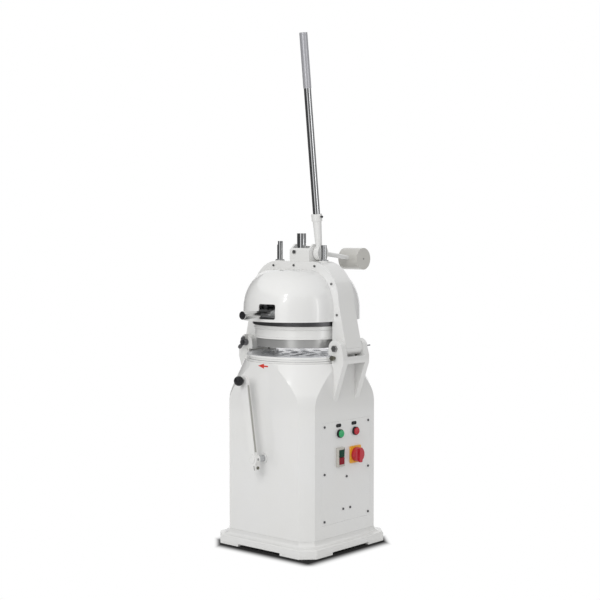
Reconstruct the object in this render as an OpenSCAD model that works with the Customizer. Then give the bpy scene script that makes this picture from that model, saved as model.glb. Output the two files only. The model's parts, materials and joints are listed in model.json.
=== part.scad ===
// Semi-automatic dough divider rounder: a cabinet with an orbiting table, and a press head that tilts on it.
// Millimetres, +Z up, origin on the floor under the press axis, front towards -Y, control panel on +X.

/* [Plinth] */
// Width of the square plinth
plinth_w = 536; // [510:1:600]
// Height of the plinth's upright side
plinth_side_h = 38; // [25:1:60]
// Height of the cove from the side up to the cabinet
cove_h = 24; // [12:1:40]
// Leg of the plinth's corner chamfer
plinth_chamfer = 53; // [30:1:70]
// Width of the plinth's ledge under the cabinet, from the cabinet's face inwards
plinth_seat = 33; // [20:1:60]
// Least width of the plinth's wall at the floor
plinth_wall = 65; // [50:1:65]
// Radius of the rounded edge above the plinth's side
plinth_edge_r = 8; // [3:1:14]
// Width of the gap between two feet
foot_gap_w = 230; // [120:1:300]
// Height of the gap between two feet
foot_gap_h = 10; // [5:1:20]

/* [Cabinet] */
// Width of the square cabinet
cabinet_w = 472; // [460:1:500]
// Radius of the round that cuts the cabinet's corners
corner_r = 303; // [290:1:320]
// Wall of the casing
cabinet_wall = 5; // [3:0.5:8]
// Height where the shoulder starts to lean in
shoulder_z = 590; // [560:1:620]
// Radius of the bend at the foot of the shoulder
shoulder_bend_r = 150; // [100:1:200]
// Lean of the shoulder from upright
shoulder_angle = 24.5; // [20:0.5:27]
// Height of the deck under the table
deck_z = 765; // [750:1:775]
// Radius of the opening in the deck
deck_opening_r = 150; // [120:1:180]

/* [Control panel] */
// Width of the panel
panel_w = 311; // [290:1:330]
// Height of the panel
panel_h = 413; // [395:1:430]
// Height of the panel's lower edge
panel_z = 116; // [95:1:130]
// Offset of the panel's middle towards the back
panel_y = 9; // [-10:1:20]
// Thickness of the panel
panel_t = 3; // [2:0.5:4]
// Gap round the panel
panel_seam = 0.3; // [0.2:0.1:1]
// Width of the ledge that the panel lies on
panel_ledge = 26; // [20:1:32]
// Distance of the panel screws from its edge
panel_screw_inset = 15; // [10:1:18]
// Radius of a panel screw's shank
screw_r = 2.5; // [2:0.5:4]
// Radius of a panel screw's head
screw_head_r = 5; // [4.5:0.5:7]
// Height of a panel screw's head
screw_head_h = 3; // [2:0.5:5]

/* [Push buttons] */
// Place of the green button across the panel
green_y = -37; // [-60:1:-30]
// Place of the red button across the panel
red_y = 62; // [45:1:80]
// Height of the two push buttons
button_z = 479; // [465:1:490]
// Radius of a push button's cap
cap_r = 15; // [11:0.5:16]
// Thickness of a push button's cap
cap_t = 9; // [6:1:12]
// Travel of a push button
cap_travel = 4; // [2:0.5:5]
// Radius of a push button's stem
stem_r = 8; // [6:0.5:9]
// Wall of a push button's bezel
bezel_wall = 2; // [2:0.5:5]
// Depth of a push button's body behind the panel
button_body = 32; // [25:1:45]
// Height of the label plates over the buttons
label_rise = 33; // [28:1:38]
// Length of a label plate
label_w = 32; // [24:1:40]
// Height of a label plate
label_h = 14; // [10:1:18]
// Thickness of a label plate
label_t = 1.5; // [1:0.5:3]

/* [Key block] */
// Height of the key block's middle
key_block_z = 383; // [370:1:395]
// Width of the key block
key_block_w = 42; // [38:1:50]
// Height of the key block
key_block_h = 78; // [70:1:84]
// Depth of the key block
key_block_d = 12; // [9:1:16]
// Width of a key
key_w = 28; // [22:1:32]
// Height of a key
key_h = 28; // [22:1:31]
// Depth of the wells under the keys
key_well = 10; // [8:0.5:11]
// Travel of a key
key_travel = 3; // [2:0.5:4]

/* [Main switch] */
// Width of the square switch plate
switch_plate_w = 70; // [64:1:78]
// Thickness of the switch plate
switch_plate_t = 6; // [4:1:9]
// Radius of the rotary knob
switch_knob_r = 29; // [22:1:31]
// Thickness of the rotary knob's disc
switch_disc_t = 22; // [8:1:26]
// Height of the rotary knob's grip bar
switch_grip_h = 6; // [4:1:24]
// Width of the rotary knob's grip bar
switch_grip_w = 18; // [12:1:24]

/* [Rounding lever] */
// Place of the lever shaft across the front
round_x = 1; // [-10:1:40]
// Height of the lever shaft
round_z = 378; // [350:1:410]
// Lean of the lever to the left at rest
round_lean = 9.5; // [5:0.5:20]
// Length of the arm from the shaft to the knob
round_arm_len = 322; // [260:1:360]
// Radius of the lever shaft
round_shaft_r = 13; // [10:0.5:15]
// Gap between the front face and the arm
round_standoff = 48; // [40:1:70]
// Thickness of the arm
round_arm_t = 16; // [12:1:22]
// Width of the arm at the knob
round_arm_w = 38; // [30:1:40]
// Width of the arm at its hub
round_root_w = 27; // [24:1:34]
// Depth of the recess along the rounding lever's right side
round_recess = 9; // [4:1:10]
// Radius of the arm's hub
round_hub_r = 22; // [20:1:28]
// Length of the clamping tail under the hub
round_tail = 20; // [12:1:24]
// Radius of the ball knob
ball_r = 20; // [16:1:25]
// Distance of the ball's middle from the arm's face
ball_reach = 25; // [22:1:35]
// Radius of the ball knob's stud
ball_stud_r = 6; // [4:0.5:8]
// Length of the bush behind the front wall
round_bush_len = 70; // [50:1:90]
// Wall of the bush
round_bush_wall = 6; // [4:0.5:9]
// Throw of the cam on the shaft's inner end
round_cam_throw = 8; // [4:1:12]

/* [Table] */
// Radius of the moulding plate
plate_r = 228; // [215:1:230]
// Thickness of the moulding plate
plate_t = 10; // [8:1:14]
// Height of the moulding plate's top
plate_top_z = 793; // [790:1:796]
// Radius of a dish in the moulding plate
dish_r = 20; // [14:0.5:22]
// Depth of a dish in the moulding plate
dish_d = 4; // [2:0.5:6]
// Thickness of the rounding table under the plate
table_t = 9; // [6:1:9]
// How far the plate overhangs the table
plate_overhang = 4; // [2:1:10]
// Radius of the table's hub
table_hub_r = 45; // [38:1:55]
// Height of the table's hub
table_hub_h = 38; // [30:1:45]
// Throw of the eccentric that the table rides on
orbit_r = 8; // [5:0.5:9]
// Direction of the crank at rest, from the front towards the right
crank_rest = 41; // [0:1:180]
// Outer radius of the fixed rim under the table
rim_r = 231; // [225:1:235]
// Width of the fixed rim
rim_w = 30; // [20:1:40]
// Height of the fixed rim
rim_h = 8; // [5:0.5:8]

/* [Drive] */
// Height of the drive plate's underside
drive_plate_z = 640; // [625:1:645]
// Thickness of the drive plate
drive_plate_t = 12; // [8:1:16]
// Radius of the eccentric shaft
drive_shaft_r = 20; // [16:1:24]
// Radius of the eccentric pin
orbit_pin_r = 17.5; // [14:0.5:20]
// Radius of the crank disc
crank_r = 50; // [42:1:56]
// Thickness of the crank disc
crank_t = 14; // [10:1:18]
// Outer radius of a bearing
bearing_r = 36; // [32:1:40]
// Height of a bearing
bearing_h = 20; // [14:1:24]
// Wall of the bearing housing
bearing_wall = 22; // [12:1:28]
// Radius of the shaft's pulley
pulley_r = 75; // [70:1:80]
// Radius of the motor's pulley
motor_pulley_r = 32; // [28:1:36]
// Height of the pulleys
pulley_h = 36; // [30:1:40]
// Depth of the belt groove
groove_d = 8; // [6:1:10]
// Width of the belt
belt_w = 14; // [10:1:18]
// Thickness of the belt
belt_t = 8; // [6:1:10]
// Place of the motor across the cabinet
motor_x = -140; // [-150:1:-130]
// Place of the motor along the cabinet
motor_y = 120; // [110:1:135]
// Radius of the motor
motor_r = 68; // [55:1:75]
// Length of the motor
motor_h = 230; // [180:1:260]
// Radius of the motor's shaft
motor_shaft_r = 12; // [9:0.5:14]

/* [Brackets] */
// Distance of the head pins from the press axis
pin_x = 245; // [240:1:252]
// Height of the head pins
pin_z = 827; // [824:1:835]
// Radius of the head pins
pin_r = 8; // [6:0.5:10]
// Radius of a lug round its pin
lug_r = 34; // [28:1:38]
// Front face of the front lugs, ahead of the press axis
lug_front = 77; // [72:1:84]
// Rear face of the rear lugs, behind the press axis
lug_rear = 90; // [86:1:96]
// Thickness of a lug
lug_t = 28; // [22:1:29]
// Reach of a bracket beyond the pin
bracket_reach = 43; // [40:1:50]
// Thickness of the plate that joins the lugs
bracket_web = 13; // [8:1:14]
// Height of the plate that joins the lugs
bracket_web_h = 29; // [25:1:40]
// Lowest point of the gussets under the lugs
gusset_foot_z = 615; // [595:1:680]
// Radius of a bracket bolt
bracket_bolt_r = 6.5; // [5:0.5:6.5]
// Drop of the bracket bolts below the pin
bracket_bolt_drop = 38; // [37:1:42]
// Length of the front bracket bolt outside the lug
front_bolt_out = 12; // [4:1:16]

/* [Head] */
// Front face of the yoke, ahead of the press axis
yoke_front = 40; // [34:1:44]
// Rear face of the yoke, behind the press axis
yoke_rear = 44; // [38:1:48]
// Half the clear width between the yoke's legs
yoke_inner_x = 207; // [206:0.5:209]
// Reach of a leg beyond its pin
leg_reach = 35; // [30:1:38]
// Distance of the leg's upper end from the press axis
leg_top_x = 240; // [236:1:246]
// Height where the legs turn into the arch
arch_z = 1005; // [990:1:1020]
// Height of the crown
crown_z = 1174; // [1165:1:1185]
// Thickness of the crown
crown_t = 56; // [45:1:65]
// Half the flat width of the crown
crown_flat = 100; // [90:1:110]
// Radius of the half domes
dome_r = 213; // [210:1:217]
// Height of the domes' lower edge
dome_low_z = 933; // [928:1:938]
// Height of the domes' flat top
dome_top_z = 1140; // [1130:1:1146]
// Width of the domes' rounded edge
dome_round_w = 124; // [110:1:140]
// Height of the domes' rounded edge
dome_round_h = 163; // [140:1:175]
// Wall of the domes
dome_wall = 4; // [3:0.5:6]
// Thickness of the covers' flange
flange_t = 8; // [6:1:10]
// Left end of the handle slot
slot_left = -6; // [-9:1:-5]
// Right end of the handle slot
slot_right = 72; // [70:1:90]
// Lower edge of the handle slot
slot_low_z = 944; // [940:1:950]
// Upper edge of the handle slot
slot_top_z = 1005; // [990:1:1020]
// Corner radius of the handle slot
slot_corner_r = 8; // [4:1:12]
// Height of the lowest cover screws
cover_screw_low_z = 960; // [950:1:975]
// Height of the cover screws in the arch
cover_screw_mid_z = 1085; // [1070:1:1095]
// Place of the cover screws under the crown
cover_screw_top_x = 113; // [100:1:120]
// Radius of a cover screw's head
cover_screw_head_r = 5; // [4:0.5:7]

/* [Press] */
// Radius of the spindle
spindle_r = 19; // [17:0.5:20]
// Height of the spindle's top
spindle_top_z = 1289; // [1275:1:1310]
// Distance of the guide rods from the press axis
guide_x = 121; // [119:1:126]
// Radius of a guide rod
guide_r = 12; // [9:0.5:13]
// Height of the left guide rod's top
guide_left_top_z = 1257; // [1235:1:1275]
// Height of the right guide rod's top
guide_right_top_z = 1241; // [1225:1:1245]
// Wall of the bushes
bush_wall = 5; // [3:0.5:6]
// Height of the bosses under the guide bushes
bush_boss_h = 2; // [1:0.5:4]
// Radius of the crosshead
crosshead_r = 158; // [150:1:160]
// Thickness of the crosshead
crosshead_t = 18; // [12:1:24]
// Height of the crosshead's underside
crosshead_z = 1004; // [1002:1:1012]
// Outer radius of the press ring
ring_r = 199; // [195:1:202]
// Height of the press ring's lower edge
ring_low_z = 860; // [856:1:864]
// Height of the press ring's top
ring_top_z = 913; // [909:1:916]
// Wall of the press ring
ring_wall = 10; // [8:1:11]
// Height of the sleeve's lower edge
sleeve_low_z = 825; // [822:1:832]
// Wall of the sleeve
sleeve_wall = 6; // [4:1:6]
// Thickness of the press ring's top plate
ring_top_t = 12; // [8:1:14]
// Depth of the steps round the press ring
ring_step = 3; // [1:0.5:5]
// Gap between the stamps and the sleeve
die_gap = 5; // [4:0.5:7]
// Thickness of a knife
knife_t = 2; // [1.5:0.1:3]
// Gap between a knife and a stamp
knife_gap = 0.6; // [0.4:0.1:1]
// Height of a stamp
stamp_h = 23; // [18:1:28]
// Rise of the stamps above the sleeve's lower edge
stamp_rise = 3; // [2:1:5]
// Rise of the knives above the sleeve's lower edge
knife_rise = 5; // [4:1:8]
// Height of the knife blades
knife_h = 42; // [38:1:45]
// Thickness of the knife carrier
carrier_t = 8; // [6:1:10]
// Radius of a stamp's stem
stamp_stem_r = 5; // [4:0.5:6]
// Radius of a knife follower
follower_r = 5; // [4:0.5:5.5]
// Distance of the knife followers from the press axis
follower_at = 168; // [166:1:170]

/* [Cutter] */
// Angle of the cutter handle to the right of the front
handle_angle = 1.5; // [0.5:0.1:2]
// Turn of the cutter handle
handle_turn = 12; // [8:1:12]
// Drop of the knives over that turn
knife_drop = 8; // [4:0.5:8]
// Distance of the handle's end from the press axis
handle_end = 368; // [330:1:390]
// Radius of the handle's root
handle_root_r = 8; // [6:0.5:8]
// Length of the handle's thin root outside the cutter ring
handle_root = 44; // [30:1:50]
// Length of the short cone from the root up to the grip
handle_cone = 26; // [15:1:40]
// Radius of the grip where it starts
handle_grip_r = 14.5; // [9:0.5:17]
// Radius of the handle's end
handle_end_r = 17.5; // [12:0.5:20]
// Outer radius of the cutter ring
cutter_r = 204; // [200:1:205]
// Width of the cutter ring
cutter_w = 20; // [16:1:22]
// Height of the cutter ring
cutter_h = 32; // [26:1:36]
// Thickness of the shelf under the cutter ring
shelf_t = 12; // [8:1:13]
// Height of the shelf's underside above the domes' edge
shelf_rise = 3; // [1:0.5:4]
// Gap between the press ring and the skirt under the shelf
skirt_gap = 2; // [1:0.5:4]
// Wall of the skirt
skirt_wall = 3; // [2:0.5:4]

/* [Press lever] */
// Distance of the lever's plane from the press axis
lever_x = 84; // [83:0.5:86]
// Distance of the lever's pivot behind the press axis
pivot_y = 24; // [22:0.5:28]
// Height of the lever's pivot
pivot_z = 1208; // [1207:1:1215]
// Radius of the lever's hub
hub_r = 33; // [24:1:33]
// Width of the lever's hub
hub_w = 26; // [22:0.5:26]
// Radius of the lever's shaft
lever_shaft_r = 10; // [8:0.5:10.5]
// Radius of the neck at the hub
neck_r = 12.5; // [10:0.5:12.5]
// Radius of the neck at the socket
neck_top_r = 18.5; // [13:0.5:19.5]
// Distance of the neck's foot ahead of the pivot
neck_ahead = 9; // [2:1:12]
// Forward place of the socket
socket_y = 0; // [-8:1:6]
// Height of the socket
socket_z = 1345; // [1335:1:1360]
// Lean of the lever tube to the front
lever_lean = 6.5; // [3:0.5:10]
// Radius of the socket's collar
collar_r = 22; // [19:1:25]
// Length of the socket's collar
collar_h = 24; // [18:1:30]
// Radius of the lever tube
tube_r = 15; // [12:0.5:17]
// Wall of the lever tube
tube_wall = 2.5; // [2:0.5:4]
// Length of the lever tube
tube_len = 755; // [650:1:850]
// Length of the grip
grip_len = 219; // [180:1:280]
// Wall of the grip
grip_wall = 1.5; // [1:0.5:5]
// Radius of the set bolt
set_bolt_r = 3; // [3:0.5:5]
// Length of the set bolt outside the collar
set_bolt_out = 9; // [8:1:18]
// Distance of the counterweight from the pivot
weight_at = 223; // [210:1:255]
// Droop of the counterweight's rod
weight_droop = 7; // [4:0.5:10]
// Radius of the counterweight
weight_r = 46; // [40:1:50]
// Length of the counterweight
weight_len = 101; // [80:1:105]
// Radius of the counterweight's rod
weight_rod_r = 9.5; // [6:0.5:10]

/* [Pinion] */
// Module of the pinion and the rack
gear_module = 2.5; // [2.4:0.05:2.6]
// Number of teeth on the pinion
pinion_teeth = 12; // [12:1:12]
// Pressure angle of the teeth
pressure_angle = 25; // [24:0.5:26]
// Play between the teeth
backlash = 0.3; // [0.2:0.05:0.5]
// Width of the pinion
pinion_w = 28; // [20:1:30]
// Left side of the pinion housing
housing_left = -38; // [-40:1:-32]
// Right side of the pinion housing
housing_right = 69; // [66:1:70]
// Front of the pinion housing, ahead of the press axis
housing_front = 32; // [30:1:36]
// Rear of the pinion housing, behind the press axis
housing_rear = 54; // [52:1:60]
// Height of the housing's front wall
housing_front_h = 47; // [44:1:58]
// Height of the housing's side walls
housing_side_h = 71; // [64:1:78]
// Wall of the pinion housing
housing_wall = 9; // [7:0.5:10]

/* [Fits] */
// Radial play of a shaft in its bore
running_fit = 0.05; // [0.02:0.01:0.1]
// Play between flat faces that move past each other
side_play = 0.4; // [0.3:0.05:0.6]
// Play of a screw in its hole
screw_play = 0.2; // [0.1:0.05:0.4]

/* [Hidden] */
$fn = 64;
arc_steps = 12;
belt_steps = 36;
cut = 1;
deep = 2000;
white = "#dcdcd8";
steel = "#b9bcc0";
dark_steel = "#4a4c50";

plinth_half = plinth_w / 2;
plinth_top = plinth_side_h + cove_h;
cab_half = cabinet_w / 2;
diagonal_half = (plinth_w - plinth_chamfer) / sqrt(2);
front_face = -cab_half;
gland_x = 150;
gland_z = 130;
gland_r = 10;

panel_low = panel_z;
panel_high = panel_z + panel_h;
panel_inner_x = cab_half - panel_t;
screw_offset = panel_w / 2 - panel_screw_inset;
screw_rows = [panel_low + panel_screw_inset, panel_low + panel_h / 2, panel_high - panel_screw_inset];
box_screw_at = [[panel_y, 298], [panel_y - 22, 167], [panel_y + 23, 167]];
box_margin = 14;
box_depth = 90;
cap_back = bezel_wall / 2 + cap_travel + side_play;
bezel_r = cap_r + side_play + bezel_wall;
neck_of_button_r = stem_r + bezel_wall;
key_y = green_y;
switch_y = red_y;
switch_z = key_block_z;
key_offset = (key_h + bezel_wall) / 2;
key_back = cab_half + key_block_d - key_well + key_travel + side_play;
key_front = cab_half + key_block_d + key_travel + 1;

round_bush_outer = round_shaft_r + running_fit + round_bush_wall;
arm_back = front_face - round_standoff;
arm_front = arm_back - round_arm_t;
bush_end = front_face + cabinet_wall + round_bush_len;

plate_low = plate_top_z - plate_t;
table_low = plate_low - table_t;
table_r = plate_r - plate_overhang;
table_clear_r = plate_r + orbit_r + 6;
crank_at = [orbit_r * sin(crank_rest), -orbit_r * cos(crank_rest), 0];
table_clear_top = plate_top_z + 7;
hub_low = table_low - table_hub_h;
crank_top = hub_low - side_play;
crank_low = crank_top - crank_t;
bearing_top = crank_low - side_play;
drive_plate_top = drive_plate_z + drive_plate_t;
bearing_low = drive_plate_top + 4;
housing_flange_r = bearing_r + bearing_wall + 27;
housing_flange_t = 12;
pulley_top = drive_plate_z - 8;
pulley_low = pulley_top - pulley_h;
belt_z = pulley_low + (pulley_h - belt_w) / 2;
motor_top = pulley_low - 12;
motor_flange_t = 12;
motor_stud_at = motor_r - 8;
motor_stud_r = 7;
belt_span = norm([motor_x, motor_y]);
belt_angle = atan2(motor_y, motor_x);

bracket_out = pin_x + bracket_reach;
lug_in = pin_x - lug_r;
fork_front = lug_t - lug_front;
fork_rear = lug_rear - lug_t;
web_top = pin_z - lug_r + 1;
web_low = web_top - bracket_web_h;
bolt_x = pin_x - 3;
bolt_z = pin_z - bracket_bolt_drop;
nut_t = 16;
wing_t = 5;
pin_collar_r = pin_r + 6;
pin_collar_t = 8;
pin_spare = 6;
bolt_head_t = 10;
low_head_t = 7;
wing_r = 11;

boss_front = fork_front + side_play;
boss_rear = fork_rear - side_play;
boss_r = lug_r - 2;
flange_front = -yoke_front - flange_t;
flange_rear = yoke_rear + flange_t;
front_axis_y = -yoke_front - flange_t / 2;
rear_axis_y = yoke_rear + flange_t / 2;
crown_low = crown_z - crown_t;
boss_top = crown_z + bush_boss_h;
arch_w = leg_top_x - crown_flat;
arch_h = crown_z - arch_z;
inner_arch_z = arch_z - 5;
inner_flat = crown_flat + 7;
spindle_bush_r = spindle_r + bush_wall + 2;
guide_bush_r = guide_r + bush_wall;
guide_flange_r = guide_bush_r + 1.5;
guide_flange_t = 4;
cover_screw_r = cover_screw_head_r / 2;
cover_screw_len = flange_t + 10;

crosshead_top = crosshead_z + crosshead_t;
ring_inner_r = ring_r - ring_wall;
ring_plate_low = ring_top_z - ring_top_t;
sleeve_inner_r = ring_inner_r - sleeve_wall;
die_r = sleeve_inner_r - die_gap;
cell_counts = [5, 10, 15];
cell_total = 30;
inner_die_r = die_r * sqrt(cell_counts[0] / cell_total);
middle_die_r = die_r * sqrt((cell_counts[0] + cell_counts[1]) / cell_total);
cell_radii = [0, inner_die_r, middle_die_r, die_r];
stamp_low = sleeve_low_z + stamp_rise;
stamp_top = stamp_low + stamp_h;
knife_low = sleeve_low_z + knife_rise;
carrier_low = knife_low + knife_h;
carrier_top = carrier_low + carrier_t;
ring_bore_r = 30;
post_r = 10;
post_at = crosshead_r - post_r;
shelf_low = dome_low_z + shelf_rise;
shelf_top = shelf_low + shelf_t;
cutter_low = shelf_top + side_play;
cutter_top = cutter_low + cutter_h;
cutter_inner_r = cutter_r - cutter_w;
handle_z = cutter_low + cutter_h / 2;
handle_root_end = cutter_r + handle_root;
follower_angles = [30, 150, 270];
follower_top = shelf_low + 7;
ramp_slope = atan(knife_drop / (follower_at * handle_turn * PI / 180));
ramp_z = follower_top - follower_r + (follower_r + side_play) / cos(ramp_slope);

pitch_r = gear_module * pinion_teeth / 2;
base_r = pitch_r * cos(pressure_angle);
tip_r = pitch_r + 0.9 * gear_module;
root_r = pitch_r - 1.25 * gear_module;
rack_pitch = PI * gear_module;
rack_y = pivot_y - pitch_r;
rack_tip_y = rack_y + gear_module;
rack_root_y = rack_y - 1.25 * gear_module;
housing_inner_right = housing_right - 3 * housing_wall;
housing_slope_y = 29 - housing_front;
hub_left = lever_x - hub_w / 2;
hub_right = lever_x + hub_w / 2;
weight_entry = 40;
housing_bolt_x = housing_left + 27;
housing_bolt_z = crown_z + housing_front_h - 9;

// Points on an ellipse's arc
function arc_points(cx, cy, rx, ry, from, to, steps = arc_steps) =
    [for (i = [0 : steps]) let (t = from + (to - from) * i / steps) [cx + rx * cos(t), cy + ry * sin(t)]];

// An outline and its mirror image about the second axis
function both_sides(points) =
    concat(points, [for (i = [len(points) - 1 : -1 : 0]) [-points[i][0], points[i][1]]]);

// Half outline of the cabinet's round, drawn in by an inset
function cabinet_round(inset, low) =
    let (bend = shoulder_bend_r - inset)
    let (cx = corner_r - shoulder_bend_r)
    let (end_x = cx + bend * cos(shoulder_angle))
    let (end_z = shoulder_z + bend * sin(shoulder_angle))
    let (top = deck_z - inset)
    concat([[0, low], [corner_r - inset, low]], arc_points(cx, shoulder_z, bend, bend, 0, shoulder_angle),
        [[end_x - (top - end_z) * tan(shoulder_angle), top], [0, top]]);

// Half outline of the yoke and the cover flanges
function arch_half(low_x, low_z) =
    concat([[low_x, low_z]], arc_points(crown_flat, arch_z, arch_w, arch_h, 0, 90));

// Where the straight leg stands at a height
function leg_x(z) = leg_top_x + (pin_x + leg_reach - leg_top_x) * (arch_z - z) / (arch_z - pin_z);

// Where the arch stands at a height above the legs
function arch_x(z) = crown_flat + arch_w * sqrt(1 - pow((z - arch_z) / arch_h, 2));

// Height of the arch over a place near the crown
function arch_top(x) = arch_z + arch_h * sqrt(1 - pow(max(0, abs(x) - crown_flat) / arch_w, 2));

// Half outline of a dome, drawn in by an inset
function dome_half(inset) =
    concat([[dome_r - inset, dome_low_z - cut * inset / dome_wall]],
        arc_points(dome_r - dome_round_w, dome_top_z - dome_round_h, dome_round_w - inset,
            dome_round_h - inset, 0, 90));

// Radius of a dome at a height in its rounded edge
function dome_x(z) =
    dome_r - dome_round_w * (1 - sqrt(1 - pow(max(0, z - dome_top_z + dome_round_h) / dome_round_h, 2)));

// Height of a dome's rounded edge at a radius
function dome_top(x) =
    dome_top_z - dome_round_h * (1 - sqrt(1 - pow(max(0, abs(x) - dome_r + dome_round_w) / dome_round_w, 2)));

// Turn of an involute at a radius, in degrees
function involute_turn(r) = let (a = acos(base_r / r)) tan(a) * 180 / PI - a;

// Half the angle of a pinion tooth at a radius
function tooth_half(r) =
    90 / pinion_teeth - backlash * 45 / (PI * pitch_r)
    + involute_turn(pitch_r) - involute_turn(max(r, base_r));

// One flank of a pinion tooth, from root to tip
function flank(side, middle) =
    [for (r = [root_r, base_r, (base_r + pitch_r) / 2, pitch_r, (pitch_r + tip_r) / 2, tip_r])
        let (a = middle + side * tooth_half(r)) [r * cos(a), r * sin(a)]];

// Places of the cover screws, as distance across and height
cover_screws_half = [
    [(dome_r + leg_x(cover_screw_low_z)) / 2, cover_screw_low_z],
    [(dome_x(cover_screw_mid_z) + arch_x(cover_screw_mid_z)) / 2, cover_screw_mid_z],
    [cover_screw_top_x, (dome_top(cover_screw_top_x) + arch_top(cover_screw_top_x)) / 2]
];
cover_screw_at = concat(both_sides(cover_screws_half), [[0, (dome_top_z + crown_z) / 2]]);

// Plate with its outline in X and Z
module xz_plate(y0, y1) {
    translate([0, y1, 0]) rotate([90, 0, 0]) linear_extrude(y1 - y0) children();
}

// Plate with its outline in Y and Z
module yz_plate(x0, x1) {
    translate([x0, 0, 0]) rotate([90, 0, 90]) linear_extrude(x1 - x0) children();
}

// Round bar along X
module x_rod(x0, x1, y, z, r) {
    translate([x0, y, z]) rotate([0, 90, 0]) cylinder(h = x1 - x0, r = r);
}

// Round bar along Y
module y_rod(y0, y1, x, z, r) {
    translate([x, y1, z]) rotate([90, 0, 0]) cylinder(h = y1 - y0, r = r);
}

// Round bar along Z
module z_rod(z0, z1, x, y, r) {
    translate([x, y, z0]) cylinder(h = z1 - z0, r = r);
}

// Block between two corners
module block(low, high) {
    translate(low) cube(high - low);
}

// Hexagon across its flats, along Y
module y_hex(y0, y1, x, z, flats) {
    translate([x, y1, z]) rotate([90, 0, 0]) cylinder(h = y1 - y0, r = flats / sqrt(3), $fn = 6);
}

// Rectangle with round corners
module round_rect(low, high, r) {
    translate([low[0] + r, low[1]]) square([high[0] - low[0] - 2 * r, high[1] - low[1]]);
    translate([low[0], low[1] + r]) square([high[0] - low[0], high[1] - low[1] - 2 * r]);
    for (x = [low[0] + r, high[0] - r], y = [low[1] + r, high[1] - r]) translate([x, y]) circle(r);
}

// Outline of a belt's loop round both pulleys
module belt_loop(r1, r2) {
    turn = acos((r1 - r2) / belt_span);
    polygon(concat(arc_points(0, 0, r1, r1, turn, 360 - turn, belt_steps),
        arc_points(belt_span, 0, r2, r2, -turn, turn, belt_steps)));
}

// Everything inside the cabinet's outer surface
module cabinet_solid(inset, low) {
    intersection() {
        block([inset - cab_half, inset - cab_half, low], [cab_half - inset, cab_half - inset, deck_z]);
        rotate_extrude() polygon(cabinet_round(inset, low));
    }
}

// Upright prism with the plinth's side and cove
module plinth_prism(outer, inner) {
    edge = plinth_edge_r;
    side = concat([[outer, 0]], arc_points(outer - edge, plinth_side_h - edge, edge, edge, 0, 90),
        arc_points(outer - edge, plinth_top, inner - outer + edge, -cove_h, 90, 0));
    xz_plate(-plinth_w, plinth_w) polygon(both_sides(side));
}

module base_plinth() {
    inside = min(cab_half - plinth_seat, plinth_half - plinth_wall);
    color(white) difference() {
        intersection() {
            plinth_prism(plinth_half, cab_half);
            rotate([0, 0, 90]) plinth_prism(plinth_half, cab_half);
            rotate([0, 0, 45]) plinth_prism(diagonal_half, corner_r);
            rotate([0, 0, 135]) plinth_prism(diagonal_half, corner_r);
        }
        block([-inside, -inside, -cut], [inside, inside, plinth_top + cut]);
        for (turn = [0, 90]) rotate([0, 0, turn])
            block([-foot_gap_w / 2, -plinth_w, -cut], [foot_gap_w / 2, plinth_w, foot_gap_h]);
    }
}

module cabinet_shell() {
    frame_out = panel_w / 2 + 10;
    frame_in = panel_w / 2 - panel_ledge;
    ledge_x = panel_inner_x - 5;
    color(white) difference() {
        union() {
            difference() {
                cabinet_solid(0, plinth_top);
                cabinet_solid(cabinet_wall, plinth_top - cut);
            }
            block([ledge_x, panel_y - frame_out, panel_low - 10],
                [panel_inner_x, panel_y + frame_out, panel_high + 10]);
        }
        z_rod(plinth_top, deck_z + cut, 0, 0, deck_opening_r);
        block([panel_inner_x, panel_y - panel_w / 2 - panel_seam, panel_low - panel_seam],
            [cab_half + cut, panel_y + panel_w / 2 + panel_seam, panel_high + panel_seam]);
        block([ledge_x - cut, panel_y - frame_in, panel_low + panel_ledge],
            [cab_half, panel_y + frame_in, panel_high - panel_ledge]);
        panel_screw_holes();
        y_rod(front_face - cut, front_face + 2 * cabinet_wall, round_x, round_z, round_bush_outer);
        y_rod(cab_half - 2 * cabinet_wall, cab_half + cut, gland_x, gland_z, gland_r);
    }
}

module panel_screw_holes() {
    for (side = [-1, 1], z = screw_rows)
        x_rod(0, deep, panel_y + side * screw_offset, z, screw_r + screw_play);
}

module control_panel() {
    color(white) difference() {
        block([panel_inner_x, panel_y - panel_w / 2, panel_low],
            [cab_half, panel_y + panel_w / 2, panel_high]);
        panel_screw_holes();
        for (at = box_screw_at) x_rod(0, deep, at[0], at[1], screw_r + screw_play);
        for (y = [green_y, red_y]) x_rod(0, deep, y, button_z, neck_of_button_r);
    }
}

module panel_screw(y, z, x0) {
    x_rod(x0, cab_half, y, z, screw_r);
    x_rod(cab_half, cab_half + screw_head_h, y, z, screw_head_r);
}

module panel_screws() {
    color(steel) {
        for (side = [-1, 1], z = screw_rows)
            panel_screw(panel_y + side * screw_offset, z, panel_inner_x - 5);
        for (at = box_screw_at) panel_screw(at[0], at[1], panel_inner_x - 3);
    }
}

module table_rim() {
    color(white) difference() {
        z_rod(deck_z, deck_z + rim_h, 0, 0, rim_r);
        z_rod(deck_z - cut, deck_z + rim_h + cut, 0, 0, rim_r - rim_w);
    }
}

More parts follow.
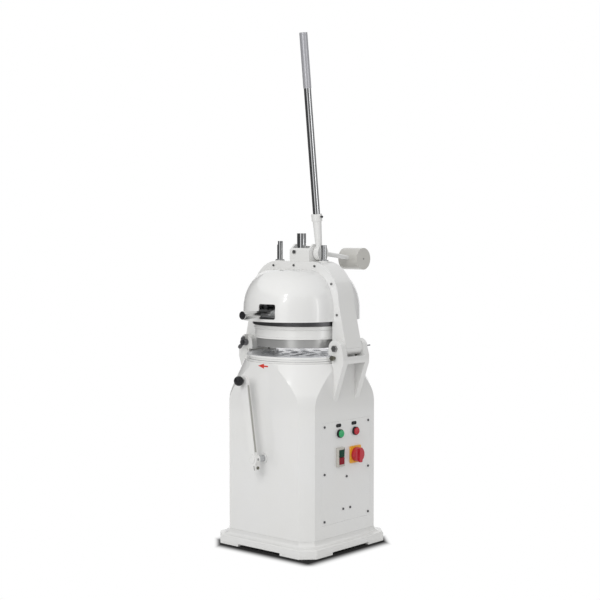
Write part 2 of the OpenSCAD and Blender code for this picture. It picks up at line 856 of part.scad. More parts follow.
// One hinge bracket, drawn on the right
module bracket_body() {
    difference() {
        union() {
            for (span = [[-lug_front, fork_front], [fork_rear, lug_rear]]) {
                y_rod(span[0], span[1], pin_x, pin_z, lug_r);
                xz_plate(span[0], span[1]) polygon([
                    [lug_in, pin_z], [pin_x + lug_r, pin_z], [bracket_out, web_top],
                    [bracket_out, web_low], [cab_half, gusset_foot_z], [lug_in, gusset_foot_z]
                ]);
            }
            block([bracket_out - bracket_web, fork_front, web_low], [bracket_out, fork_rear, web_top]);
            block([lug_in, fork_front, web_low], [bracket_out, fork_rear, web_low + bracket_web]);
        }
        cabinet_solid(0, plinth_top);
        z_rod(deck_z - cut, table_clear_top, 0, 0, table_clear_r);
        for (span = [[-lug_front, fork_front], [fork_rear, lug_rear]])
            y_rod(span[0] - cut, span[1] + cut, bolt_x, bolt_z, bracket_bolt_r + screw_play);
    }
}

module hinge_bracket_right() {
    color(white) difference() {
        bracket_body();
        y_rod(-deep, deep, pin_x, pin_z, pin_r);
    }
}

// The left bracket is open above its pin, so that the pin lifts out with the head
module hinge_bracket_left() {
    mouth = pin_r + 1;
    color(white) mirror([1, 0, 0]) difference() {
        bracket_body();
        y_rod(-deep, deep, pin_x, pin_z, mouth);
        xz_plate(-deep, deep) polygon([
            [pin_x - mouth, pin_z], [pin_x + mouth, pin_z],
            [pin_x + mouth + 3, pin_z + lug_r + cut], [pin_x - mouth - 3, pin_z + lug_r + cut]
        ]);
    }
}

module bracket_bolts() {
    color(dark_steel) for (side = [-1, 1]) {
        head_y = -lug_front - (side > 0 ? front_bolt_out : 0);
        y_rod(head_y, fork_front, side * bolt_x, bolt_z, bracket_bolt_r);
        y_hex(head_y - low_head_t, head_y, side * bolt_x, bolt_z, 3 * bracket_bolt_r);
        y_rod(fork_rear, lug_rear, side * bolt_x, bolt_z, bracket_bolt_r);
        y_hex(lug_rear, lug_rear + low_head_t, side * bolt_x, bolt_z, 3 * bracket_bolt_r);
    }
}

module hinge_pin_right() {
    color(dark_steel) {
        y_rod(-lug_front, lug_rear + nut_t + pin_spare, pin_x, pin_z, pin_r);
        y_hex(-lug_front - bolt_head_t, -lug_front, pin_x, pin_z, 3 * pin_r);
    }
}

// Wing nut on a pin along Y, its wings away from the face at y
module wing_nut(x, y, outward, turn) {
    hub = pin_r + 5;
    color(dark_steel) translate([x, y, pin_z]) rotate([outward * 90, 0, 0]) rotate([0, 0, turn])
        difference() {
        union() {
            cylinder(h = nut_t, r = hub);
            for (side = [-1, 1]) translate([side * (hub + 6), wing_t / 2, low_head_t + 2 + wing_r])
                rotate([90, 0, 0]) cylinder(h = wing_t, r = wing_r);
            block([-hub - 6, -wing_t / 2, low_head_t + 1], [hub + 6, wing_t / 2, nut_t]);
        }
        translate([0, 0, -cut]) cylinder(h = 2 * nut_t, r = pin_r + running_fit);
    }
}

module wing_nut_left() {
    wing_nut(-pin_x, -lug_front - side_play - pin_collar_t - side_play, 1, 65);
}

module wing_nut_right() {
    wing_nut(pin_x, lug_rear + side_play, -1, -8);
}

module drive_plate() {
    half = cab_half - cabinet_wall;
    color(steel) difference() {
        intersection() {
            block([-half, -half, drive_plate_z], [half, half, drive_plate_top]);
            z_rod(drive_plate_z - cut, drive_plate_top + cut, 0, 0, corner_r - 25);
        }
        z_rod(drive_plate_z - cut, drive_plate_top + cut, 0, 0, drive_shaft_r + 6);
    }
}

module bearing_housing() {
    color("#8f9296") difference() {
        union() {
            z_rod(drive_plate_top, bearing_top, 0, 0, bearing_r + bearing_wall);
            z_rod(drive_plate_top, drive_plate_top + housing_flange_t, 0, 0, housing_flange_r);
        }
        z_rod(drive_plate_top - cut, bearing_top + cut, 0, 0, drive_shaft_r + 6);
        z_rod(bearing_low, bearing_low + bearing_h, 0, 0, bearing_r);
        z_rod(bearing_top - bearing_h, bearing_top + cut, 0, 0, bearing_r);
    }
}

module shaft_bearings() {
    color(steel) for (z = [bearing_low, bearing_top - bearing_h]) difference() {
        z_rod(z, z + bearing_h, 0, 0, bearing_r);
        z_rod(z - cut, z + bearing_h + cut, 0, 0, drive_shaft_r + running_fit);
    }
}

module eccentric_shaft() {
    color(steel) {
        z_rod(pulley_low - 6, crank_low, 0, 0, drive_shaft_r);
        z_rod(crank_low, crank_top, 0, 0, crank_r);
        translate(crank_at) z_rod(crank_top, table_low, 0, 0, orbit_pin_r);
    }
}

// Grooved pulley with its bore
module pulley(r, bore_r) {
    mid = pulley_h / 2;
    half = belt_w / 2 + 2;
    rotate_extrude() polygon([
        [bore_r, 0], [r, 0], [r, mid - half], [r - groove_d, mid - half], [r - groove_d, mid + half],
        [r, mid + half], [r, pulley_h], [bore_r, pulley_h]
    ]);
}

module shaft_pulley() {
    color("#6b6e72") translate([0, 0, pulley_low]) pulley(pulley_r, drive_shaft_r);
}

module motor_pulley() {
    color("#6b6e72") translate([motor_x, motor_y, 0]) {
        translate([0, 0, pulley_low]) pulley(motor_pulley_r, motor_shaft_r);
        z_rod(motor_top - 60, pulley_low + pulley_h, 0, 0, motor_shaft_r);
    }
}

module drive_belt() {
    in_shaft = pulley_r - groove_d + side_play;
    in_motor = motor_pulley_r - groove_d + side_play;
    color("#2b2b2b") translate([0, 0, belt_z]) rotate([0, 0, belt_angle]) difference() {
        linear_extrude(belt_w) belt_loop(in_shaft + belt_t, in_motor + belt_t);
        translate([0, 0, -cut]) linear_extrude(belt_w + 2 * cut) belt_loop(in_shaft, in_motor);
    }
}

module drive_motor() {
    color("#5f7488") translate([motor_x, motor_y, 0]) difference() {
        union() {
            z_rod(motor_top - motor_h, motor_top - motor_flange_t, 0, 0, motor_r);
            block([-motor_r, -motor_r, motor_top - motor_flange_t], [motor_r, motor_r, motor_top]);
            for (x = [-1, 1], y = [-1, 1])
                z_rod(motor_top - motor_flange_t, drive_plate_z, x * motor_stud_at, y * motor_stud_at,
                    motor_stud_r);
        }
        z_rod(motor_top - 62, motor_top + cut, 0, 0, motor_shaft_r + running_fit);
    }
}

module rounding_table() {
    color(white) translate(crank_at) difference() {
        union() {
            z_rod(table_low, plate_low, 0, 0, table_r);
            z_rod(hub_low, table_low, 0, 0, table_hub_r);
        }
        z_rod(hub_low - cut, table_low + side_play, 0, 0, orbit_pin_r + running_fit);
    }
}

// Middle of a stamp's cell in a zone
function cell_at(zone, index) =
    let (r = (cell_radii[zone] + cell_radii[zone + 1]) / 2)
    let (a = 360 * (index + 0.5) / cell_counts[zone])
    [r * cos(a), r * sin(a)];

module moulding_plate() {
    ball = (dish_r * dish_r + dish_d * dish_d) / (2 * dish_d);
    color("#a9adb3") translate(crank_at) difference() {
        z_rod(plate_low, plate_top_z, 0, 0, plate_r);
        for (zone = [0 : 2], i = [0 : cell_counts[zone] - 1])
            translate(concat(cell_at(zone, i), [plate_top_z - dish_d + ball])) sphere(ball);
    }
}

module rounding_bush() {
    color(steel) difference() {
        union() {
            y_rod(front_face, front_face + cabinet_wall + round_bush_len, round_x, round_z, round_bush_outer);
            y_rod(front_face - 4, front_face, round_x, round_z, round_bush_outer + 2);
        }
        y_rod(-deep, 0, round_x, round_z, round_shaft_r + running_fit);
    }
}

module rounding_shaft() {
    cam_r = round_shaft_r + round_cam_throw + 6;
    color(steel) {
        y_rod(arm_front - 6, bush_end + side_play, round_x, round_z, round_shaft_r);
        y_rod(bush_end + side_play, bush_end + 14, round_x + round_cam_throw, round_z, cam_r);
    }
}

// Frame of the rounding arm, upright along the arm
module arm_frame() {
    translate([round_x, 0, round_z]) rotate([0, -round_lean, 0]) children();
}

module rounding_arm() {
    tip_r = round_arm_w / 2;
    root = round_root_w / 2;
    color(white) difference() {
        arm_frame() {
            y_rod(arm_front, arm_back, 0, round_arm_len, tip_r);
            y_rod(arm_front - 4, arm_back + 6, 0, 0, round_hub_r);
            xz_plate(arm_front, arm_back) polygon([
                [-root, 0], [root, 0], [tip_r, round_arm_len], [-tip_r, round_arm_len]
            ]);
            xz_plate(arm_front - 4, arm_back + 6) polygon([
                [-14, 0], [14, 0], [12, -round_hub_r - round_tail], [-12, -round_hub_r - round_tail]
            ]);
        }
        y_rod(-deep, 0, round_x, round_z, round_shaft_r);
        arm_frame() y_rod(-deep, 0, 0, round_arm_len, ball_stud_r);
        arm_frame() block([tip_r - round_recess, arm_front + 2.5, round_hub_r + 8],
            [2 * tip_r, arm_back - 2.5, round_arm_len - tip_r - 2]);
    }
}

module rounding_knob() {
    color("#1c1c1e") arm_frame() {
        translate([0, arm_front - ball_reach, round_arm_len]) sphere(ball_r);
        y_rod(arm_front - ball_reach, arm_back, 0, round_arm_len, ball_stud_r);
    }
}

module electrical_box() {
    low = [panel_inner_x - box_depth, box_screw_at[1][0] - 20, box_screw_at[1][1] - box_margin];
    high = [panel_inner_x, box_screw_at[2][0] + 20, box_screw_at[0][1] + box_margin];
    wall = [3, 3, 3];
    color("#c9cacc") difference() {
        block(low, high);
        block(low + wall, high - wall);
        for (at = box_screw_at)
            x_rod(panel_inner_x - 10, panel_inner_x + cut, at[0], at[1], screw_r + screw_play);
    }
}

module button_bezels() {
    back = panel_inner_x - button_body;
    color(steel) for (y = [green_y, red_y]) difference() {
        union() {
            x_rod(back, panel_inner_x, y, button_z, bezel_r);
            x_rod(back, cab_half, y, button_z, neck_of_button_r);
            x_rod(cab_half, cab_half + cap_back + cap_t / 2, y, button_z, bezel_r);
        }
        x_rod(cab_half + bezel_wall / 2, deep, y, button_z, cap_r + side_play);
        x_rod(back + 3, deep, y, button_z, stem_r + running_fit);
    }
}

module push_button(y) {
    x_rod(cab_half + cap_back, cab_half + cap_back + cap_t, y, button_z, cap_r);
    x_rod(panel_inner_x - button_body + 3 + cap_travel + side_play, cab_half + cap_back, y, button_z, stem_r);
}

module green_button() {
    color("#2aa05a") push_button(green_y);
}

module red_button() {
    color("#c3283a") push_button(red_y);
}

module label_plates() {
    color("#202022") for (y = [green_y, red_y]) yz_plate(cab_half, cab_half + label_t)
        round_rect([y - label_w / 2 - 6, button_z + label_rise - label_h / 2],
            [y + label_w / 2 - 6, button_z + label_rise + label_h / 2], label_h / 2 - 0.5);
}

module key_block() {
    well_x = cab_half + key_block_d - key_well;
    color("#a3a5a3") difference() {
        block([cab_half, key_y - key_block_w / 2, key_block_z - key_block_h / 2],
            [cab_half + key_block_d, key_y + key_block_w / 2, key_block_z + key_block_h / 2]);
        for (side = [-1, 1]) key_outline(side, side_play, well_x, deep);
    }
}

// Space of a key, above or below the middle
module key_outline(side, play, x0, x1) {
    z = key_block_z + side * key_offset;
    half = [key_w / 2 + play, key_h / 2 + play];
    block([x0, key_y - half[0], z - half[1]], [x1, key_y + half[0], z + half[1]]);
}

module start_key() {
    color("#1f6b45") key_outline(1, 0, key_back, key_front);
}

module stop_key() {
    color("#b02a34") key_outline(-1, 0, key_back, key_front);
}

module main_switch_plate() {
    half = switch_plate_w / 2;
    color("#f0a31c") difference() {
        yz_plate(cab_half, cab_half + switch_plate_t)
            round_rect([switch_y - half, switch_z - half], [switch_y + half, switch_z + half], 5);
        x_rod(cab_half - cut, deep, switch_y, switch_z, stem_r + running_fit);
    }
}

module main_switch_knob() {
    disc_x = cab_half + switch_plate_t + side_play;
    color("#c8242c") {
        x_rod(cab_half + side_play, disc_x, switch_y, switch_z, stem_r);
        x_rod(disc_x, disc_x + switch_disc_t, switch_y, switch_z, switch_knob_r);
        yz_plate(disc_x + switch_disc_t, disc_x + switch_disc_t + switch_grip_h)
            translate([switch_y, switch_z])
            round_rect([-switch_grip_w / 2, -switch_knob_r - 2], [switch_grip_w / 2, switch_knob_r], 4);
    }
}

module cable_gland() {
    color("#3a3b3d") {
        y_rod(cab_half - 14, cab_half, gland_x, gland_z, gland_r);
        y_hex(cab_half, cab_half + 8, gland_x, gland_z, 2.4 * gland_r);
        translate([gland_x, cab_half + 8, gland_z]) rotate([-90, 0, 0])
            cylinder(h = 14, r1 = gland_r, r2 = gland_r - 4);
    }
}

// Outline of the yoke and the covers' flanges above a height
module arch_outline(low_x, low_z) {
    polygon(both_sides(arch_half(low_x, low_z)));
}

// Arch of the yoke, from the pins up
module yoke_outline() {
    difference() {
        arch_outline(pin_x + leg_reach, pin_z);
        polygon(both_sides(concat([[yoke_inner_x, pin_z - cut]],
            arc_points(inner_flat, inner_arch_z, yoke_inner_x - inner_flat, crown_low - inner_arch_z, 0, 90))));
    }
}

module head_yoke() {
    color(white) difference() {
        union() {
            xz_plate(-yoke_front, yoke_rear) yoke_outline();
            xz_plate(max(flange_front, boss_front), min(flange_rear, boss_rear)) intersection() {
                yoke_outline();
                translate([-deep, pin_z]) square([2 * deep, dome_low_z - pin_z]);
            }
            for (side = [-1, 1]) {
                y_rod(boss_front, boss_rear, side * pin_x, pin_z, boss_r);
                z_rod(crown_low, boss_top, side * guide_x, 0, guide_flange_r + 2);
            }
        }
        z_rod(crown_low - cut, crown_z + cut, 0, 0, spindle_bush_r);
        for (side = [-1, 1]) z_rod(crown_low - deep, boss_top + cut, side * guide_x, 0, guide_bush_r);
        y_rod(-deep, deep, -pin_x, pin_z, pin_r);
        y_rod(-deep, deep, pin_x, pin_z, pin_r + running_fit);
        cover_screw_bores();
    }
}

module cover_screw_bores() {
    bore_r = cover_screw_r + screw_play;
    for (at = cover_screw_at) {
        y_rod(flange_front - cut, flange_front + cover_screw_len + 1, at[0], at[1], bore_r);
        y_rod(flange_rear - cover_screw_len - 1, flange_rear + cut, at[0], at[1], bore_r);
    }
}

// Half dome with its flange, drawn for the front
module cover(axis_y, flange_y) {
    shell = concat(dome_half(0), [[0, dome_top_z], [0, dome_top_z - dome_wall]],
        [for (i = [len(dome_half(dome_wall)) - 1 : -1 : 0]) dome_half(dome_wall)[i]]);
    translate([0, axis_y, 0]) intersection() {
        rotate_extrude() polygon(shell);
        block([-dome_r - cut, -dome_r - cut, dome_low_z], [dome_r + cut, 0, dome_top_z + cut]);
    }
    xz_plate(flange_y, flange_y + flange_t) difference() {
        arch_outline(leg_x(dome_low_z), dome_low_z);
        polygon(both_sides(dome_half(dome_wall)));
    }
}

module front_cover() {
    color(white) difference() {
        cover(front_axis_y, flange_front);
        cover_screw_bores();
        xz_plate(-deep, front_axis_y - dome_r / 2)
            round_rect([slot_left, slot_low_z], [slot_right, slot_top_z], slot_corner_r);
    }
}

module rear_cover() {
    color(white) difference() {
        mirror([0, 1, 0]) cover(-rear_axis_y, -flange_rear);
        cover_screw_bores();
    }
}

module cover_screws() {
    color(dark_steel) {
        for (at = cover_screw_at) {
            y_rod(flange_front, flange_front + cover_screw_len, at[0], at[1], cover_screw_r);
            y_rod(flange_front - 4, flange_front, at[0], at[1], cover_screw_head_r);
            y_rod(flange_rear - cover_screw_len, flange_rear, at[0], at[1], cover_screw_r);
            y_rod(flange_rear, flange_rear + 4, at[0], at[1], cover_screw_head_r);
        }
        y_rod(-housing_front - 6, -housing_front, housing_bolt_x, housing_bolt_z, 8);
        y_rod(-housing_front, -housing_front + housing_wall, housing_bolt_x, housing_bolt_z, 4);
    }
}

module pinion_housing() {
    side = [
        [-housing_front, crown_z], [-housing_front, crown_z + housing_front_h],
        [housing_slope_y, crown_z + housing_side_h], [housing_rear - 14, crown_z + housing_side_h],
        [housing_rear, crown_z + housing_front_h], [housing_rear, crown_z]
    ];
    color(white) difference() {
        yz_plate(housing_left, housing_right) polygon(side);
        block([housing_left + housing_wall, housing_wall - housing_front, crown_z - cut],
            [housing_inner_right, housing_rear - housing_wall, deep]);
        block([housing_left + housing_wall, housing_wall - housing_front, pivot_z + lever_shaft_r + 6],
            [housing_right - housing_wall, housing_rear - housing_wall, deep]);
        x_rod(-deep, deep, pivot_y, pivot_z, lever_shaft_r + running_fit);
        y_rod(-housing_front - cut, 0, housing_bolt_x, housing_bolt_z, 4 + screw_play);
    }
}

// Plain bush, with a flange above when it has a height
module bush(x, outer, bore, z0, z1, flange_r, flange_h) {
    difference() {
        union() {
            z_rod(z0, z1, x, 0, outer);
            if (flange_h > 0) z_rod(z1, z1 + flange_h, x, 0, flange_r);
        }
        z_rod(z0 - cut, z1 + flange_h + cut, x, 0, bore);
    }
}

module guide_bushes() {
    color(white) {
        for (side = [-1, 1])
            bush(side * guide_x, guide_bush_r, guide_r + running_fit, crown_low, boss_top, guide_flange_r,
                guide_flange_t);
        bush(0, spindle_bush_r, spindle_r + running_fit, crown_low, crown_z, 0, 0);
    }
}

module locking_pin_left() {
    collar = -lug_front - side_play;
    color(steel) {
        y_rod(collar - pin_collar_t - nut_t - pin_spare, lug_rear + side_play, -pin_x, pin_z, pin_r);
        y_rod(collar - pin_collar_t, collar, -pin_x, pin_z, pin_collar_r);
        y_hex(lug_rear + side_play, lug_rear + side_play + bolt_head_t, -pin_x, pin_z, 3 * pin_r);
    }
}

module cutter_shelf() {
    color(dark_steel) difference() {
        union() {
            z_rod(shelf_low, shelf_top, 0, 0, cutter_r);
            block([-yoke_inner_x, -30, shelf_low], [yoke_inner_x, 30, shelf_top]);
            z_rod(ring_top_z + skirt_gap, shelf_low, 0, 0, cutter_r);
        }
        z_rod(ring_top_z, shelf_low, 0, 0, cutter_r - skirt_wall);
        z_rod(shelf_low - cut, shelf_top + cut, 0, 0, cutter_inner_r + 1);
    }
}

// Frame of the lever tube, upright along the tube
module lever_frame() {
    translate([lever_x, socket_y, socket_z]) rotate([lever_lean, 0, 0]) children();
}

// Space of the counterweight's rod, from the hub into the weight
module weight_rod(r) {
    translate([lever_x, pivot_y, pivot_z]) rotate([-90 - weight_droop, 0, 0])
        translate([0, 0, hub_r - 8]) cylinder(h = weight_at - weight_r + weight_entry - hub_r + 8, r = r);
}

module lever_socket() {
    foot_y = pivot_y - neck_ahead;
    neck = [socket_y - foot_y, socket_z - pivot_z];
    color(white) difference() {
        union() {
            x_rod(hub_left, hub_right, pivot_y, pivot_z, hub_r);
            translate([lever_x, foot_y, pivot_z]) rotate([atan2(-neck[0], neck[1]), 0, 0])
                cylinder(h = norm(neck), r1 = neck_r, r2 = neck_top_r);
            lever_frame() translate([0, 0, -6]) cylinder(h = collar_h + 6, r = collar_r);
        }
        lever_frame() cylinder(h = deep, r = tube_r);
        x_rod(hub_left - deep, hub_right + cut, pivot_y, pivot_z, lever_shaft_r);
        lever_frame() x_rod(0, deep, 0, collar_h / 2, set_bolt_r);
        weight_rod(weight_rod_r);
    }
}

module lever_tube() {
    color("#d4d6d8") lever_frame() difference() {
        cylinder(h = tube_len, r = tube_r);
        translate([0, 0, -cut]) cylinder(h = tube_len - 3, r = tube_r - tube_wall);
    }
}

module lever_grip() {
    color("#b4b5b8") lever_frame() difference() {
        translate([0, 0, tube_len - grip_len]) cylinder(h = grip_len + 4, r = tube_r + grip_wall);
        translate([0, 0, -cut]) cylinder(h = tube_len + cut, r = tube_r);
    }
}

module lever_set_bolt() {
    color(dark_steel) lever_frame() {
        x_rod(tube_r, collar_r + set_bolt_out - 6, 0, collar_h / 2, set_bolt_r);
        x_rod(collar_r + set_bolt_out - 6, collar_r + set_bolt_out, 0, collar_h / 2, set_bolt_r + 2);
    }
}

module counterweight_rod() {
    color(white) weight_rod(weight_rod_r);
}

module counterweight() {
    color("#cfcfc8") difference() {
        translate([0, pivot_y, pivot_z]) rotate([-weight_droop, 0, 0])
            x_rod(lever_x - weight_len / 2, lever_x + weight_len / 2, weight_at, 0, weight_r);
        weight_rod(weight_rod_r);
    }
}

module pinion_shaft() {
    points = [for (k = [0 : pinion_teeth - 1]) let (middle = 180 + k * 360 / pinion_teeth)
        let (back = flank(1, middle))
        each concat(flank(-1, middle), [for (i = [len(back) - 1 : -1 : 0]) back[i]])];
    color("#9a9da1") {
        translate([0, pivot_y, pivot_z]) yz_plate(-pinion_w / 2, pinion_w / 2) polygon(points);
        x_rod(housing_left, hub_right, pivot_y, pivot_z, lever_shaft_r);
    }
}

module press_spindle() {
    space_tip = rack_pitch / 4 + backlash / 2 + (gear_module + cut) * tan(pressure_angle);
    space_root = rack_pitch / 4 + backlash / 2 - 1.25 * gear_module * tan(pressure_angle);
    rack_low = pivot_z - 2.5 * rack_pitch;
    rack_high = pivot_z + 5.5 * rack_pitch;
    color("#c4c7ca") difference() {
        z_rod(crosshead_top, spindle_top_z, 0, 0, spindle_r);
        block([-spindle_r, rack_tip_y, rack_low], [spindle_r, spindle_r + cut, rack_high]);
        for (j = [-2 : 5]) translate([0, 0, pivot_z + j * rack_pitch])
            yz_plate(-spindle_r - cut, spindle_r + cut) polygon([
                [rack_root_y, -space_root], [rack_root_y, space_root],
                [rack_tip_y + cut, space_tip], [rack_tip_y + cut, -space_tip]
            ]);
    }
}

module press_crosshead() {
    color(steel) {
        z_rod(crosshead_z, crosshead_top, 0, 0, crosshead_r);
        for (a = [45 : 90 : 315])
            z_rod(ring_top_z, crosshead_z, post_at * cos(a), post_at * sin(a), post_r);
    }
}

module guide_rods() {
    color("#c4c7ca") {
        difference() {
            z_rod(crosshead_top, guide_left_top_z, -guide_x, 0, guide_r);
            block([-guide_x - guide_r - cut, -guide_r - cut, guide_left_top_z - 15],
                [-guide_x - guide_r / 6, guide_r + cut, guide_left_top_z + cut]);
        }
        z_rod(crosshead_top, guide_right_top_z, guide_x, 0, guide_r);
    }
}

module press_ring() {
    lip = ring_r - ring_step / 3;
    body = ring_r - ring_step;
    groove = ring_plate_low - 5;
    color(white) difference() {
        rotate_extrude() polygon([
            [ring_inner_r, ring_low_z], [lip, ring_low_z], [lip, ring_low_z + 8], [body, ring_low_z + 8],
            [body, groove], [body - 2, groove], [body - 2, groove + 4], [ring_r, groove + 4],
            [ring_r, ring_top_z], [ring_bore_r, ring_top_z], [ring_bore_r, ring_plate_low],
            [ring_inner_r, ring_plate_low]
        ]);
        for (a = follower_angles)
            z_rod(ring_plate_low - cut, ring_top_z + cut, follower_at * cos(a), follower_at * sin(a),
                follower_r + side_play);
    }
}

module press_sleeve() {
    color("#d8d9da") difference() {
        z_rod(sleeve_low_z, ring_plate_low, 0, 0, ring_inner_r);
        z_rod(sleeve_low_z - cut, ring_plate_low + cut, 0, 0, sleeve_inner_r);
    }
}

module press_stamps() {
    color("#d8d9da") for (zone = [0 : 2]) {
        edge_in = zone == 0 ? 0 : cell_radii[zone] + knife_t / 2 + knife_gap;
        edge_out = zone == 2 ? die_r : cell_radii[zone + 1] - knife_t / 2 - knife_gap;
        slot_half = knife_t / 2 + knife_gap;
        difference() {
            z_rod(stamp_low, stamp_top, 0, 0, edge_out);
            if (zone > 0) z_rod(stamp_low - cut, stamp_top + cut, 0, 0, edge_in);
            for (i = [0 : cell_counts[zone] - 1]) rotate([0, 0, 360 * i / cell_counts[zone]])
                block([-slot_half, -slot_half, stamp_low - cut], [die_r + cut, slot_half, stamp_top + cut]);
        }
        for (i = [0 : cell_counts[zone] - 1])
            z_rod(stamp_top, ring_plate_low, cell_at(zone, i)[0], cell_at(zone, i)[1], stamp_stem_r);
    }
}

module knife_grid() {
    color("#c0c3c6") {
        difference() {
            z_rod(carrier_low, carrier_top, 0, 0, die_r);
            for (zone = [0 : 2], i = [0 : cell_counts[zone] - 1])
                z_rod(carrier_low - cut, carrier_top + cut, cell_at(zone, i)[0], cell_at(zone, i)[1],
                    stamp_stem_r + side_play);
        }
        for (r = [inner_die_r, middle_die_r]) difference() {
            z_rod(knife_low, carrier_low, 0, 0, r + knife_t / 2);
            z_rod(knife_low - cut, carrier_low + cut, 0, 0, r - knife_t / 2);
        }
        for (zone = [0 : 2], i = [0 : cell_counts[zone] - 1]) rotate([0, 0, 360 * i / cell_counts[zone]])
            block([cell_radii[zone], -knife_t / 2, knife_low],
                [cell_radii[zone + 1] - knife_t / 4, knife_t / 2, carrier_low]);
        for (a = follower_angles) translate([follower_at * cos(a), follower_at * sin(a), 0]) {
            z_rod(carrier_top, follower_top - follower_r, 0, 0, follower_r);
            translate([0, 0, follower_top - follower_r]) sphere(follower_r);
        }
    }
}

// Frame of the cutter handle, along the handle's turn
module handle_frame() {
    rotate([0, 0, handle_angle]) children();
}

// Lug under the cutter ring whose sloped face pushes a knife follower down
module cutter_lug() {
    low_r = follower_at - follower_r - 1;
    reach = 50;
    difference() {
        rotate([0, 0, -handle_turn - 4]) rotate_extrude(angle = handle_turn + 8)
            translate([low_r, shelf_low - 4])
            square([cutter_inner_r + 0.5 - low_r, cutter_top - shelf_low + 4]);
        translate([0, 0, ramp_z]) rotate([ramp_slope, 0, 0])
            block([low_r - reach, -2 * reach, -reach], [cutter_r, 2 * reach, 0]);
    }
}

module cutter_ring() {
    color(steel) difference() {
        union() {
            difference() {
                z_rod(cutter_low, cutter_top, 0, 0, cutter_r);
                z_rod(cutter_low - cut, cutter_top + cut, 0, 0, cutter_inner_r);
            }
            for (a = follower_angles) rotate([0, 0, a]) cutter_lug();
        }
        handle_frame() y_rod(-deep, 4 - cutter_r, 0, handle_z, handle_root_r);
    }
}

module cutter_handle() {
    color("#b9bcc0") handle_frame() {
        y_rod(-handle_root_end, 4 - cutter_r, 0, handle_z, handle_root_r);
        translate([0, -handle_root_end, handle_z]) rotate([90, 0, 0]) {
            cylinder(h = handle_cone, r1 = handle_root_r, r2 = handle_grip_r);
            translate([0, 0, handle_cone])
                cylinder(h = handle_end - handle_root_end - handle_cone, r1 = handle_grip_r, r2 = handle_end_r);
        }
    }
}

base_plinth();
cabinet_shell();
control_panel();
panel_screws();
table_rim();
hinge_bracket_left();
hinge_bracket_right();
bracket_bolts();
hinge_pin_right();
drive_plate();
bearing_housing();
shaft_bearings();
drive_motor();
drive_belt();
rounding_bush();
electrical_box();
button_bezels();
key_block();
main_switch_plate();
label_plates();
cable_gland();
head_yoke();
front_cover();
rear_cover();
cover_screws();
pinion_housing();
guide_bushes();
locking_pin_left();
cutter_shelf();
lever_socket();
lever_tube();
lever_grip();
lever_set_bolt();
counterweight_rod();
counterweight();
pinion_shaft();
press_spindle();
press_crosshead();
guide_rods();
press_ring();
press_sleeve();
press_stamps();
knife_grid();
cutter_ring();
cutter_handle();
rounding_shaft();
rounding_arm();
rounding_knob();
eccentric_shaft();
shaft_pulley();
rounding_table();
moulding_plate();
motor_pulley();
green_button();
red_button();
start_key();
stop_key();
main_switch_knob();
wing_nut_left();
wing_nut_right();
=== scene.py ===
"""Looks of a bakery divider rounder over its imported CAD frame: metres, +Z up, front towards -Y."""

from __future__ import annotations

import json
import logging
import math
from dataclasses import dataclass
from enum import Enum
from typing import Any, Callable, Mapping, Sequence

import bmesh
import bpy
from mathutils import Matrix, Vector

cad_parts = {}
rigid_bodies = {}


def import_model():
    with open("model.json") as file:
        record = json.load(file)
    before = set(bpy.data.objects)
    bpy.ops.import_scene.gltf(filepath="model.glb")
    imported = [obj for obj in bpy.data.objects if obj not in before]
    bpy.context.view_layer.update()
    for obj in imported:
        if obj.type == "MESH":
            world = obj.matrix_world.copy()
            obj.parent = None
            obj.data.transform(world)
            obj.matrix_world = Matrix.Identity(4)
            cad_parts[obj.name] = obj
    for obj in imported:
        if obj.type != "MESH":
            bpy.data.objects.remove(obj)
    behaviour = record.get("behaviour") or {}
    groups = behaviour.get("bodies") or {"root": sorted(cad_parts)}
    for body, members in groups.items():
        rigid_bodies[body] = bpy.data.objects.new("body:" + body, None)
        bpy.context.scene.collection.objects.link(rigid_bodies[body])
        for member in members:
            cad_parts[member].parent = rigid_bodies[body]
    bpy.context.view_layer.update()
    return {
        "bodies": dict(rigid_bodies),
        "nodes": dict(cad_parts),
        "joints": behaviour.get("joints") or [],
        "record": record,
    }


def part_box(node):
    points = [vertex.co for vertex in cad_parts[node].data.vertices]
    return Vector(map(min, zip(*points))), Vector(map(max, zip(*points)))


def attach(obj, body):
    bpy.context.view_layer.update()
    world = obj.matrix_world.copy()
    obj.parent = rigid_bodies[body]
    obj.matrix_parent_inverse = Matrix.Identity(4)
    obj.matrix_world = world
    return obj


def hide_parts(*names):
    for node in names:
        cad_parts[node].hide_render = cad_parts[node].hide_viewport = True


LOG = logging.getLogger("divider_rounder")

Colour = tuple[float, float, float]
Point = tuple[float, float, float]
Line = Sequence[tuple[float, float]]

WELD = 2e-5
FLAT_ANGLE = math.radians(0.5)
SHARP_ANGLE = math.radians(40.0)
PURE_WHITE = (1.0, 1.0, 1.0, 1.0)


